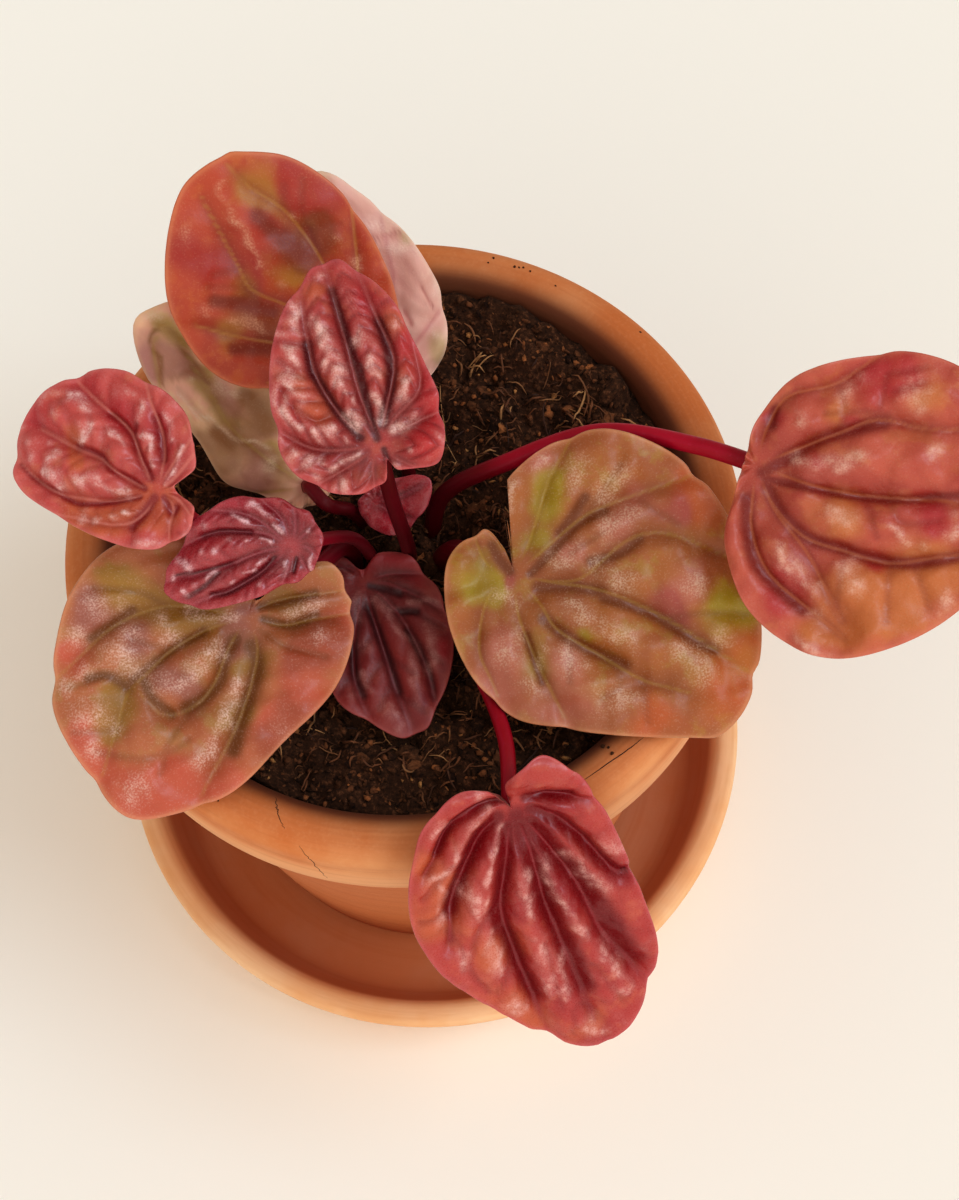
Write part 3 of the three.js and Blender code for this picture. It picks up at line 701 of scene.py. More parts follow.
def grow_stalk(name, blade_at, blade_tip, face, thick, root, via):
    """A stalk from its place in the soil, through its points, into the underside of its blade. It is
    thicker where it meets the blade, and a little at its root."""
    at = np.array(blade_at, float)
    along = unit(np.array(blade_tip, float) - at)
    up = unit(np.array(face, float) - np.dot(face, along) * along)
    end = at - (blade_thickness + 0.3) * up
    foot = [[*root, soil_top - root_depth], [*root, soil_top - root_depth / 3]]
    path = route_points([*foot, *via, end - thick * up, end], stalk_steps)
    path = np.vstack([path, at - 1.0 * up])
    ahead = np.gradient(path, axis=0)
    ahead /= np.linalg.norm(ahead, axis=1)[:, None]
    side = np.cross(ahead[0], [0.2, 0.9, 0.1])
    walked = np.concatenate([[0], np.cumsum(np.linalg.norm(np.diff(path, axis=0), axis=1))])
    points, flutes = [], []
    for k, (spot, way) in enumerate(zip(path, ahead)):
        side = unit(side - side.dot(way) * way)
        other = np.cross(way, side)
        swell = 1 + 0.3 * math.exp(-(walked[-1] - walked[k]) / 1.6) + 0.12 * math.exp(-walked[k] / 14)
        for i in range(stalk_sides):
            turn = 2 * math.pi * i / stalk_sides
            flute = math.cos(flutes_round * turn + 0.05 * walked[k])
            reach = thick / 2 * swell * (1 + flute_depth * flute)
            points.append(spot + reach * (math.cos(turn) * side + math.sin(turn) * other))
            flutes.append(max(0.0, flute) * 0.8)
    piece = make_object(name, points, tube_faces(0, len(path), stalk_sides), [stalk_skin])
    piece.data.attributes.new("flute", "FLOAT", "POINT").data.foreach_set("value", flutes)
    return piece


def grow_leaf(name, upper, under, at, tip, face, thick, root, via, **form):
    """A blade and its stalk, each standing for its own solid."""
    blade = grow_blade(f"blade_{name}", upper, under, at, tip, face, **form)
    fit(blade, f"leaf_{name}")
    stalk = grow_stalk(f"petiole_{name}", at, tip, face, thick, root, via)
    fit(stalk, f"stalk_{name}")


# The underside of every leaf that shows its upper side: dull rose, with raised veins of a deeper rose.
rose_under = leaf_skin("leaf_underside_rose", ("#c0746a", "#b0605a", "#c88a78"), "#a4505a", "#9a4454",
                       "#d09a8c", "#e2b8aa", roughness=0.45)

# The old leaf at the back left: nearly flat, orange-red, with yellow-green veins, crimson patches
# and dark brown patches of painted shade.
back_orange = leaf_skin("leaf_skin_orange_old", ("#b84a2c", "#ae4128", "#c05f30"), "#7c2a14", "#bc8840",
                        "#dc9468", "#dca888", ("#a02620", "#b07c2e", "#7c3a1a"),
                        line=0.3, roughness=0.4, shine=0.5, pebble=0.2, grit=0.1, thread=0.35)
grow_leaf(
    "back_orange", back_orange, rose_under, at=[-5, 23.5, 150], tip=[-21, 44, 174], face=[0.18, -0.69, 0.71],
    thick=2.8, root=[-2.5, 9.5], via=[[-3, 13, 128], [-4.5, 19, 143]],
    outline=[
        [35.5, 1], [34, -2.5], [28.5, -8.5], [19, -12], [7.5, -11.5], [-2.5, -8.5], [-8, -3.5], [-7.5, 2],
        [-2.5, 1.5], [-6, 7.5], [-1, 16.5], [7, 22.5], [18.5, 22.5], [27, 18], [34.5, 9.5]
    ],
    veins=[
        [[0, 0], [7, -2], [13, -3], [18.5, -3], [23, -2.5], [29, 0], [32, 0.5]],
        [[0, 0], [6, 3.5], [10, 6.5], [15.5, 9.5], [19, 9], [27, 8]],
        [[0, 0], [2, 6], [4.5, 10.5], [10.5, 16.5], [13.5, 19]], [[0, 0], [4, -4], [7.5, -7], [13, -10]],
        [[0, 0], [-3, 5], [-1, 12]]
    ],
    branches=[
        [[14.5, -3], [21, -5], [25, -8]], [[17, -4], [17, -6], [15.5, -9]], [[15.5, 9.5], [19.5, 15]],
        [[19, 9], [20.5, 13]], [[23, -2.5], [26, -5]]
    ],
    ripple=1.3, furrow=2.6, cup=-1.5, droop=2, wave=0.4, beads=(8, 0.08), lumps=0.25, grid=(280, 54),
    lights=[
        (0.6, [[32, 3.5], [29.5, 4.5], [26, 5], [22, 5], [18, 6]]), (0.5, [[14, -7]]), (0.6, [[21, -3.5]]),
        (0.8, [[9, -7.5], [7.5, -7.5]]), (1.2, [[29, 13]]), (1.0, [[16.5, 18]]), (1.0, [[12, 14.5], [9, 12]]),
        (0.6, [[13, 4.5]])
    ],
    shades=[
        (2.0, [[19, 0], [15, -1]]), (1.6, [[24.5, 1.5], [21, 1]]), (0.9, [[17.5, -4], [14.5, -3]]),
        (1.4, [[17, 15.5], [13, 11], [10, 8.5]]), (1.3, [[8.5, 17.5], [4.5, 12]])
    ],
    depth=0.35,
    tints=[
        [(21.5, 12, 4), (22, 1.5, 4.5), (26, -7, 4), (20, -9, 4), (17, 7.5, 2.5), (27, 16, 4)],
        [
            (31.5, 0, 3), (27.5, -0.5, 3), (25, -1.5, 2.5), (19, -3, 2.5), (16.5, 10.5, 2.5), (11.5, 16.5, 3),
            (13, 2.5, 3)
        ],
        [(14.5, -2, 4), (17, -0.5, 4), (14.5, 11, 3), (5, 12.5, 3), (18, -5, 3), (9.5, 10.5, 3)]
    ])

# The leaf behind it, seen from below: pale pink with fine rose veins.
shell_pink = leaf_skin("leaf_underside_shell_pink", ("#e6b6a8", "#dfac9e", "#eac0b0"), "#c07e76",
                       "#b6606a", "#ecccb8", "#f2d8ca", ("#c0a878",),
                       line=0.4, roughness=0.45, shine=0.6, pebble=0.15)
grow_leaf(
    "back_pale", back_orange, shell_pink, at=[0, 24.5, 128], tip=[-7, 51.5, 156], face=[-0.08, 0.71, -0.7],
    thick=2.4, root=[2.5, 10], via=[[2, 12, 120], [1, 18, 130.5]],
    outline=[
        [39.5, -0.5], [34, 4.5], [25.5, 10], [18.5, 12.5], [10.5, 13.5], [3, 11.5], [-1, 8], [-2.5, 1.5],
        [-1, 0], [-0.5, -7], [7.5, -11.5], [21, -11], [34, -6.5]
    ],
    veins=[
        [[0, 0], [12, 1], [25, 2], [35, 1]], [[0, 0], [10, 4], [18.5, 6.5], [25, 7]],
        [[0, 0], [5, 6], [9, 12]], [[0, 0], [10, -4], [22, -7]], [[0, 0], [5, -8]]
    ],
    branches=[
        [[22.5, 5], [14.5, 8.5], [9, 12.5]], [[34, 2], [31.5, 3.5], [25.5, 5]], [[20.5, 9], [15, 10.5]]
    ],
    ripple=2.0, furrow=3.0, cup=1.5, droop=1, wave=0.9, beads=(7, 0.15), lumps=0.6, raised=True,
    grid=(220, 42),
    lights=[
        (1.0, [[16, 14], [12.5, 13]]), (0.8, [[6, 10.5]]), (1.0, [[22.5, 7.5], [22, 11.5]]),
        (0.8, [[28, 4.5], [26, 7.5]])
    ],
    shades=[
        (0.5, [[25.5, 5], [25, 7], [25, 10.5]]), (0.3, [[15, 10.5], [10.5, 11.5]]),
        (0.5, [[11.5, 6.5], [9, 7]])
    ],
    tints=[[(38.5, 0, 3), (24, 10, 2), (3, 11, 3)]])

# The crumpled leaf at the left, also seen from below: tan and pink, with a yellow-green main vein and
# brown patches of painted shade.
crumpled_tan = leaf_skin("leaf_underside_tan", ("#f6cca2", "#eeb8a0", "#f4d4a6"), "#9a6a40", "#b8a04a",
                         "#dcb692", "#e6d0b4", ("#b09a40", "#b47a76", "#9a7048"),
                         line=0.4, roughness=0.4, pebble=0.2)
grow_leaf(
    "left_pale", back_orange, crumpled_tan, at=[-15, 6, 128], tip=[-38.5, 30.5, 150],
    face=[-0.17, 0.56, -0.81], thick=2.4, root=[-6.5, 7.5], via=[[-8.5, 4.5, 119], [-12.2, 0.8, 131]],
    outline=[
        [40.5, 1], [40, -3.5], [32.5, -7.5], [25, -8], [18.5, -8.5], [10.5, -10], [4.5, -7.5], [-1.5, -4],
        [-3, -0.5], [-2.5, 6.5], [8.5, 12.5], [24, 13], [36, 8]
    ],
    veins=[
        [[0, 0], [8, -2], [17, -3], [21.5, -2], [28.5, -0.5], [33.5, 1], [36.5, 0.5]],
        [[37.5, -0.5], [35, -3.5], [31.5, -6], [30, -7]], [[0, 0], [8, 5], [20, 8]], [[0, 0], [4, -6]]
    ],
    branches=[
        [[27.5, -5], [20, -5], [13.5, -3], [8.5, -0.5]], [[28.5, -0.5], [29.5, -5]], [[21.5, -2], [24.5, 1]],
        [[17.5, -0.5], [14.5, -0.5]]
    ],
    ripple=2.6, furrow=2.4, cup=2, droop=1, wave=1.2, beads=(5, 0.3), lumps=0.9, raised=True, grid=(240, 46),
    lights=[
        (0.5, [[27, -2]]), (1.2, [[24, 0.5], [20.5, 1]]),
        (0.4, [[27, -6], [23, -5.5], [19, -4.5], [15.5, -4], [12.5, -2.5], [9.5, -0.5]]), (1.2, [[8, -2.5]]),
        (1.0, [[40, -0.5], [38.5, 1]])
    ],
    shades=[
        (0.4, [[37.5, -0.5], [37, -2.5], [35.5, -3.5], [34, -3.5]]), (0.5, [[33.5, -3.5], [30, -6.5]]),
        (1.2, [[18, -5.5], [14.5, -5]]), (2.2, [[19, 2.5], [16, 2.5], [12.5, 1.5]]),
        (0.6, [[35.5, 1], [27.5, -0.5], [25, -0.5]])
    ],
    tints=[
        [(27.5, -0.5, 2.5), (24, -1, 2.5), (20, -2, 2.5), (35.5, 1, 2.5), (7.5, -1.5, 3)],
        [(34.5, -6, 4), (32.5, -3, 3), (21, 0.5, 3), (7, -6, 5), (28, -1.5, 2)],
        [(16.5, -10, 5), (14, 1.5, 5), (14.5, -6.5, 4)]
    ])

# The tall leaf in the middle: pinkish red, strongly rippled, with rows of beads that carry painted
# highlights.
beaded_red = leaf_skin("leaf_skin_rippled_red", ("#b64640", "#ac3a38", "#bc5a46"), "#4e0a12", "#c05a54",
                       "#c8666a", "#ecc4ba", ("#bc5a38", "#b82028"),
                       line=0.45, roughness=0.32, shine=0.8, pebble=0.4, wet=0.15)
grow_leaf(
    "top_ripple", beaded_red, rose_under, at=[-1, -6.5, 166], tip=[-7.5, 20.5, 179], face=[0.03, -0.43, 0.9],
    thick=2.6, root=[0.8, -1.8], via=[[0.8, -3.2, 118], [-0.6, -5.2, 145]],
    outline=[
        [30.5, -0.5], [26.5, 6], [20, 11], [12, 14], [3, 15], [-3.5, 11.5], [-6.5, 5], [-6, 1], [-3, -0.5],
        [-5, -2], [-5.5, -8], [1.5, -11], [10.5, -11], [19.5, -9.5], [27.5, -5.5]
    ],
    veins=[
        [[0, 0], [8.5, 0.5], [18, 0], [28.5, -0.5]],
        [[0, 0], [4.5, -2.5], [12, -6.5], [18.5, -6], [24.5, -5.5]],
        [[0, 0], [3, -3.5], [6.5, -9], [13, -10]],
        [[0, 0], [2.5, 2], [5.5, 4], [12.5, 6], [20, 5.5], [26.5, 4.5]],
        [[0, 0], [0.5, 4], [2.5, 10], [6.5, 14]], [[0, 0], [-1.5, 4], [-3, 11]], [[0, 0], [-3, 2], [-5, 2.5]],
        [[0, 0], [-2.5, -1.5], [-5.5, -4.5]], [[0, 0], [1, -3.5], [2, -10.5]]
    ],
    branches=[
        [[7.5, 4.5], [6.5, 8], [10.5, 11.5], [13, 12]], [[13.5, 6.5], [14, 8.5], [17.5, 11]],
        [[18.5, 5.5], [19.5, 9]], [[-0.5, 2], [-5, 5.5]], [[1.5, 7.5], [0, 13.5]]
    ],
    ripple=2.6, furrow=1.9, cup=-2, droop=1.5, wave=0.3, beads=(2.6, 0.6), sheen=0.9, lumps=0.2,
    grid=(300, 58),
    lights=[
        (0.9, [[22, 3.5], [18.5, 3], [15.5, 2.5]]), (0.7, [[14.5, 4]]), (1.1, [[12.5, 2.5], [11, 3]]),
        (0.6, [[9.5, 2.5]]), (0.5, [[8, 1.5]]), (0.8, [[6.5, 3], [3.5, 2]]), (0.7, [[25, 6], [21, 7]]),
        (0.9, [[18.5, 8.5], [16, 8.5]]), (0.7, [[15, 11], [12.5, 10], [10.5, 9.5]]),
        (0.7, [[9, 13], [6.5, 11]]), (0.9, [[4.5, 9], [4, 8.5]]), (0.8, [[4, 6.5]]), (0.5, [[2.5, 4.5]]),
        (0.6, [[5.5, 14.5]]), (0.8, [[3, 13]]), (1.1, [[0.5, 12]]), (0.8, [[0.5, 9.5]]),
        (0.7, [[-1, 6], [-0.5, 4]]), (0.7, [[-1.5, 8.5], [-1.5, 7.5]]), (0.6, [[-2, 11]]), (0.8, [[-4, 7.5]]),
        (0.7, [[7.5, -2], [4.5, -1.5], [3, -1.5]]), (0.7, [[13.5, -3], [10.5, -3]]), (0.8, [[17, -2]]),
        (1.0, [[8, -7], [6, -6]]), (0.8, [[2, -6.5], [1.5, -3]]), (0.7, [[17, -8]]), (0.5, [[-2, -4.5]]),
        (0.7, [[-4.5, -1.5]]), (0.6, [[28.5, 1]])
    ],
    shades=[
        (0.8, [[25.5, -0.5], [20.5, -0.5], [15.5, -0.5], [11, -0.5], [5, 0], [1, 0]]),
        (0.6, [[13, -1], [8, -0.5], [3.5, 0]]), (1.0, [[18.5, -6], [15, -6], [11, -5.5], [7, -4], [3, -1.5]]),
        (0.9, [[18.5, 6], [14.5, 6.5], [10.5, 5.5], [6.5, 4.5], [2, 2.5]]), (0.6, [[-1, -0.5], [-4, -0.5]])
    ],
    tints=[
        [(8, 7.5, 2.5), (14, 8, 2), (26.5, 2.5, 2), (17, -8, 3), (9, -7.5, 2.5)],
        [(13, -8.5, 3), (2, -9.5, 3), (7, -9, 3), (22.5, -6, 2), (-2.5, -6.5, 3)]
    ])

# The leaf at the far left: rose red, glossy and puckered, with pale veins.
puckered_rose = leaf_skin("leaf_skin_puckered_rose", ("#c85a52", "#be4844", "#cc7056"), "#86161c",
                          "#dc8878", "#d47c78", "#f0cec8", ("#c46230", "#b22430"),
                          line=0.25, roughness=0.32, shine=0.75, pebble=0.5, wet=0.25, thread=0.38)
grow_leaf(
    "left_rose", puckered_rose, rose_under, at=[-38, -5.5, 155], tip=[-61.5, 5.5, 154],
    face=[-0.19, -0.32, 0.93], thick=2.6, root=[-8.5, 2.8], via=[[-19, -4, 129], [-31.5, -8.5, 146]],
    outline=[
        [26.5, 0], [26, -6.5], [22, -12.5], [14, -17], [5, -16.5], [-2.5, -12], [-5, -6], [-3, -1.5],
        [-7.5, 1], [-6, 6.5], [0, 9.5], [9.5, 9.5], [18, 8], [24, 5]
    ],
    veins=[
        [[0, 0], [5, -0.5], [10.5, -2.5], [15, -3], [20, -4]],
        [[0, 0], [6, 3], [12.5, 4.5], [18, 4.5], [25, 1.5]], [[0, 0], [4, -4], [7, -8], [14.5, -11.5]],
        [[0, 0], [0, -3.5], [1.5, -8.5], [6, -15]], [[0, 0], [-1, -3.5], [-3.5, -10]],
        [[0, 0], [-2, -2.5], [-4, -7]], [[0, 0], [0.5, 3], [3.5, 6.5], [14, 8]], [[0, 0], [-3, 1], [-4, 5]],
        [[0, 0], [-3.5, 0], [-7, 2]]
    ],
    branches=[
        [[15, -3], [14, -7.5], [15, -9.5]], [[16, -3.5], [19, -8.5], [21, -10]], [[10.5, -2.5], [11.5, -7.5]],
        [[15, 5], [17, 0.5]], [[20, -4], [25, -5.5]], [[7, -8], [8, -12.5]]
    ],
    ripple=2.0, furrow=1.9, cup=-2, droop=1.5, wave=0.6, beads=(3.2, 0.35), sheen=0.65, lumps=0.35,
    grid=(300, 58),
    lights=[
        (0.7, [[11.5, 0.5], [8, 1.5], [4, 1.5]]), (0.9, [[12.5, 2]]), (0.9, [[17.5, 2], [16, 3.5]]),
        (1.0, [[19, 2]]), (0.9, [[19, -0.5]]), (0.8, [[23, 0.5]]), (0.6, [[20.5, -3]]), (0.7, [[21, -7.5]]),
        (0.5, [[26.5, -4]]), (0.6, [[15, -10]]), (0.7, [[14, -7], [15, -4.5]]),
        (0.4, [[11.5, -8], [9, -7], [7, -5.5]]), (0.6, [[6, -13], [6.5, -10.5]]),
        (0.5, [[5.5, -8.5], [3.5, -7.5], [1.5, -4]]), (0.4, [[-2.5, -8], [-1.5, -4], [-1, -2]]),
        (0.8, [[1.5, -12], [0, -9]]), (0.6, [[3.5, 4.5]]), (0.8, [[5, 6]]), (0.7, [[8.5, 7]]),
        (1.0, [[10.5, 7.5]]), (0.8, [[0.5, 8.5], [-3, 8]]), (0.6, [[-7, 5]]), (1.0, [[19, -11], [16, -10.5]])
    ],
    shades=[
        (0.6, [[2, 0], [5.5, -1], [8.5, -1.5], [10.5, -3], [14, -3.5], [15.5, -3.5]]),
        (0.7, [[1.5, -2], [4, -4.5], [6.5, -7.5], [6.5, -9.5]]),
        (0.9, [[0.5, -5.5], [2, -8.5], [3.5, -11.5]]), (0.6, [[7, -8], [9.5, -9.5], [11.5, -10]]),
        (0.5, [[2.5, 1.5], [5.5, 3], [9, 4.5], [13, 5.5], [17, 4.5], [21.5, 3.5], [24.5, 2]]),
        (1.0, [[0, 1], [1, 4], [2, 6.5]]), (0.7, [[-1.5, 0.5], [-3.5, 2.5], [-4, 1.5]])
    ],
    tints=[
        [(15, -1.5, 2.5), (17.5, -4, 2), (12.5, 7, 3), (6.5, 7.5, 3), (3, 3, 2.5), (-2.5, 2.5, 3)],
        [(17, -13, 4), (9.5, -10, 3), (3, -11, 2.5), (25, -7.5, 3), (0.5, -8, 2)]
    ])

# The small leaf over the crown: deep crimson, very glossy, tightly beaded.
beaded_crimson = leaf_skin("leaf_skin_beaded_crimson", ("#a83038", "#ac3c40", "#981c28"), "#520410",
                           "#c05864", "#b04a54", "#f0c8ca", ("#a60c2a",),
                           line=0.5, roughness=0.26, shine=0.8, pebble=0.4, wet=0.4)
grow_leaf(
    "mid_crimson", beaded_crimson, rose_under, at=[-17.5, -14.5, 148], tip=[-39, -17.5, 146],
    face=[-0.02, -0.43, 0.9], thick=2.2, root=[-4.5, -3], via=[[-7.6, -4.8, 127], [-13.2, -10, 140]],
    outline=[
        [22, 0], [17.5, -5], [12, -9.5], [5, -10], [-1.5, -7.5], [-5.5, -3], [-5, 1.5], [-2.5, 5], [3, 6],
        [10.5, 6.5], [17, 6], [21, 3]
    ],
    veins=[
        [[0, 0], [3, -3], [7, -4.5], [12, -5.5], [18, -4.5]], [[0, 0], [4.5, -0.5], [13, 0.5], [20.5, 0]],
        [[0, 0], [5, 2.5], [10.5, 4], [15.5, 4.5]], [[0, 0], [2.5, -4], [5.5, -7], [11.5, -9.5]],
        [[0, 0], [0, -4.5], [2, -8]], [[0, 0], [-1.5, -2.5], [-2.5, -6]], [[0, 0], [-2, -1], [-5, -2.5]],
        [[0, 0], [-3, 1], [-4, 4.5]], [[0, 0], [0.5, 2], [2.5, 5]], [[0, 0], [-1, 2], [-2, 5.5]]
    ],
    branches=[[[8.5, 0], [13, 2], [19, 3.5]], [[0.5, 0.5], [2.5, 2.5], [4.5, 3.5]]],
    ripple=2.0, furrow=1.5, cup=-1.5, droop=1, wave=0.3, beads=(1.9, 0.35), sheen=0.7, lumps=0.15,
    grid=(260, 50),
    lights=[
        (0.5, [[7.5, -8], [6.5, -7], [5.5, -6]]), (0.45, [[13, -7], [12.5, -6.5]]),
        (0.45, [[4.5, -8.5], [3, -7], [1.5, -6]]), (0.35, [[1.5, -4.5], [0.5, -3]]),
        (0.3, [[4.5, -2.5], [2.5, -1.5]]), (0.3, [[7, -3]]), (0.35, [[9.5, -3.5]]), (0.4, [[11.5, -3]]),
        (0.4, [[14, -3]]), (0.5, [[18, -2.5], [17.5, -1]]), (0.4, [[19.5, -0.5]]), (0.35, [[4, 1], [6, 1.5]]),
        (0.35, [[7, 2], [8.5, 2]]), (0.4, [[10.5, 3]]), (0.35, [[13, 1], [14.5, 1.5]]), (0.4, [[16.5, 2]]),
        (0.4, [[18.5, 2.5]]), (0.4, [[-3, 2.5], [-3, 4.5]]), (0.4, [[1.5, 2.5], [2.5, 4]]), (0.4, [[-4, -2]]),
        (0.4, [[6.5, 4]])
    ],
    shades=[
        (0.5, [[3, 1], [5.5, 2.5], [8.5, 3.5], [12, 4.5], [14.5, 4]]),
        (0.45, [[12.5, 1], [15.5, 2.5], [18.5, 3.5]]), (0.4, [[-0.5, 2], [0.5, 4]]),
        (0.35, [[10, 0], [15, 0], [19.5, -0.5]]), (0.35, [[5.5, -4], [10, -5.5], [13.5, -5.5]])
    ],
    tints=[[(7, -9, 3), (-1.5, -3.5, 3), (12.5, -8.5, 2), (2, -7, 2)]])

# The broad leaf over the pot's left rim: salmon at the margin, olive along the veins, with painted
# highlights on its bulges.
olive_salmon = leaf_skin("leaf_skin_olive_salmon", ("#b46c42", "#ae623e", "#ac7c48"), "#6e3e14", "#b48c34",
                         "#e0a27c", "#e8c6b8", ("#c25440", "#9a7620", "#96564e", "#96482e"),
                         line=0.15, roughness=0.34, shine=0.6, pebble=0.25, grit=0.13, thread=0.2)
grow_leaf(
    "left_olive", olive_salmon, rose_under, at=[-26.5, -19.5, 133], tip=[-50, -48.5, 121],
    face=[0.06, -0.42, 0.9], thick=3, root=[-9, -1.5], via=[[-10.5, -3, 120.5], [-20, -14.5, 128]],
    outline=[
        [39, 0], [36.5, -8.5], [30, -19.5], [21, -24.5], [11, -27], [1.5, -25], [-6.5, -17], [-7, -6.5],
        [-3, -0.5], [-9, 2], [-14.5, 6.5], [-12.5, 12], [-6.5, 16.5], [3, 18.5], [14, 16], [26, 13],
        [34.5, 6.5]
    ],
    veins=[
        [[0, 0], [6, -5], [11.5, -8], [17, -9.5], [21, -10.5], [26, -9.5], [32, -8]],
        [[0, 0], [3, -7], [5.5, -12.5], [12.5, -18], [22, -21]],
        [[0, 0], [6, 0], [13, 1], [16.5, 0.5], [20, -1.5], [21.5, -4], [20.5, -8]],
        [[0, 0], [3.5, 4], [10, 6.5], [18, 8], [25.5, 8.5]], [[0, 0], [-1.5, 5.5], [-4.5, 9], [-8, 13]],
        [[0, 0], [-4.5, 2.5], [-9.5, 8.5]]
    ],
    branches=[
        [[5.5, -12.5], [5.5, -17], [9, -24.5]], [[18.5, -11], [20, -14.5], [25.5, -19.5]],
        [[19.5, 0], [24.5, -0.5], [30, 1]], [[32.5, -10], [29.5, -3], [26, 0.5], [22.5, 2]],
        [[27.5, -9], [31.5, -15]], [[11.5, -8], [13, -14.5]], [[1, 3], [1, 8], [-1, 14.5]]
    ],
    ripple=2.9, furrow=3.0, cup=-1, droop=1, wave=0.5, beads=(9, 0.12), lumps=0.4,
    lights=[
        (1.6, [[7.5, -1.5], [12, -3.5]]), (1.3, [[14, -2.5], [15.5, -3.5]]), (2, [[17.5, -7]]),
        (1.3, [[10.5, 4.5], [13.5, 5], [20.5, 6], [25, 6]]), (2.6, [[16.5, -15.5], [16.5, -12.5]]),
        (2, [[12.5, -15.5]]), (1.3, [[8, -12]]), (1.8, [[9.5, -9.5]]), (2, [[12, -22.5]]), (1.2, [[9, -19]]),
        (1.8, [[17.5, -22.5]]), (1.2, [[26, -20], [21.5, -18.5]]), (2.6, [[27.5, -14]]),
        (1.4, [[27, -10.5], [27.5, -9]]), (0.9, [[4.5, -9], [3, -5.5], [1, -2]]), (1.4, [[-5, 6.5], [-8, 9]]),
        (1.5, [[-3.5, 12]]), (2, [[34.5, -1.5]]), (1.5, [[32.5, -10.5]])
    ],
    shades=[
        (1.3, [[4.5, 0], [8.5, 0.5], [11.5, 1.5], [15, 1], [18.5, -1]]),
        (1.0, [[18, -9.5], [20, -6.5], [20.5, -2.5]]),
        (1.5, [[4, 3], [6, 5.5], [11, 7], [15.5, 8], [20.5, 9.5]]), (0.9, [[-2.5, 1], [-5.5, 4], [-9, 7.5]]),
        (0.9, [[-1, 2.5], [-2.5, 7], [-6, 9.5]]), (1.0, [[6, -5], [11.5, -8], [16.5, -10], [19.5, -11]]),
        (1.0, [[9, -17], [12.5, -18.5], [16.5, -20.5]]), (1.0, [[22.5, -17.5], [20.5, -15], [20.5, -11]])
    ],
    depth=0.45,
    tints=[
        [
            (37, 0, 5), (26, 11.5, 5), (8, 16.5, 5), (-6, 13.5, 4), (32, -12, 4), (33.5, -9, 5),
            (13.5, 13, 4), (21, -22.5, 3), (30.5, 3.5, 5), (1, 11.5, 4)
        ],
        [
            (6.5, -21, 4), (6.5, -14.5, 4), (5, -8, 4), (22.5, -11.5, 3), (28.5, -10, 3), (7, 4.5, 3),
            (3.5, -4.5, 3), (-5, 6, 3), (15.5, 6.5, 3)
        ],
        [(-1, 0, 2), (4, 0.5, 3), (15.5, -5.5, 3), (12.5, -13.5, 3), (17.5, -1, 3), (13, -22, 4)],
        [(1, 10.5, 4), (-3.5, 14, 4), (10, 15, 4), (16, 14, 3), (-4, 9, 4)]
    ])

# The leaf low over the soil at the front: dark maroon with a fine net of veins.
netted_maroon = leaf_skin("leaf_skin_netted_maroon", ("#8a2a26", "#7c2020", "#92382c"), "#3e0a0e",
                          "#9a343a", "#b05a54", "#b88078", ("#981a22",),
                          line=0.4, roughness=0.45, shine=0.6, pebble=0.4, net=0.5)
grow_leaf(
    "front_maroon", netted_maroon, rose_under, at=[-7.5, -8.5, 117], tip=[-2, -36.5, 114],
    face=[-0.02, -0.11, 0.99], thick=2, root=[-6.5, -8.5], via=[[-7, -8.4, 112.5]],
    outline=[
        [28.5, -0.5], [27, 4.5], [18.5, 10.5], [10.5, 12.5], [3, 11.5], [-2.5, 8.5], [-4, 4], [-2.5, 0.5],
        [-5.5, -2], [-5, -5], [1.5, -8.5], [9.5, -10.5], [19, -10], [25, -5]
    ],
    veins=[
        [[0, 0], [9.5, 0], [18.5, 0], [27.5, 1]], [[0, 0], [3.5, 2.5], [9.5, 5], [16, 6], [23.5, 6]],
        [[0, 0], [1.5, 4], [6, 9], [8, 11]], [[0, 0], [0, 4.5], [1.5, 10.5]],
        [[0, 0], [3.5, -1.5], [10, -4.5], [18, -6.5], [21, -6]], [[0, 0], [-2.5, -1], [-4, -3]]
    ],
    branches=[
        [[7, 4.5], [8, 7], [12, 11]], [[12.5, 5.5], [18, 9]], [[14.5, -6], [18, -9.5]], [[9.5, 0], [12, -5]],
        [[14, 0], [18, -5]], [[18.5, 0], [22.5, -3.5]], [[14, 0], [18.5, 4]], [[21.5, 0.5], [25.5, 4]]
    ],
    ripple=1.6, furrow=1.7, cup=-1, droop=1, wave=0.3, beads=(4, 0.12), lumps=0.15, grid=(260, 50),
    lights=[
        (0.9, [[2, -1.5], [6.5, -2.5]]), (1.2, [[11, -3]]),
        (0.9, [[3, 1], [7, 2.5], [10, 3.5], [13.5, 5], [17.5, 4], [23.5, 3]]),
        (0.7, [[5.5, 7], [6.5, 10], [8, 11]]), (1.1, [[11, 8.5], [15.5, 8], [18.5, 7]]),
        (0.5, [[-3.5, -3], [-2, -2]]), (1.0, [[22, -2], [24.5, -1.5]]), (0.8, [[18.5, -4.5], [16, -5]]),
        (0.8, [[19, -7.5]]), (1.2, [[26.5, -1]])
    ],
    shades=[
        (0.8, [[4.5, -0.5], [10.5, 0], [16, 0.5], [20.5, 0.5]]), (0.8, [[1, 1], [2.5, 3.5], [4, 5.5]]),
        (0.7, [[7, 5], [8, 7.5]]), (0.7, [[10.5, 5], [15, 6], [19.5, 6.5], [23.5, 6]]),
        (0.7, [[10, -5], [14.5, -6], [19.5, -5.5]])
    ],
    tints=[[(-2, 6, 3), (1, 9, 3), (17, 10, 2), (-2.5, 2, 2)]])

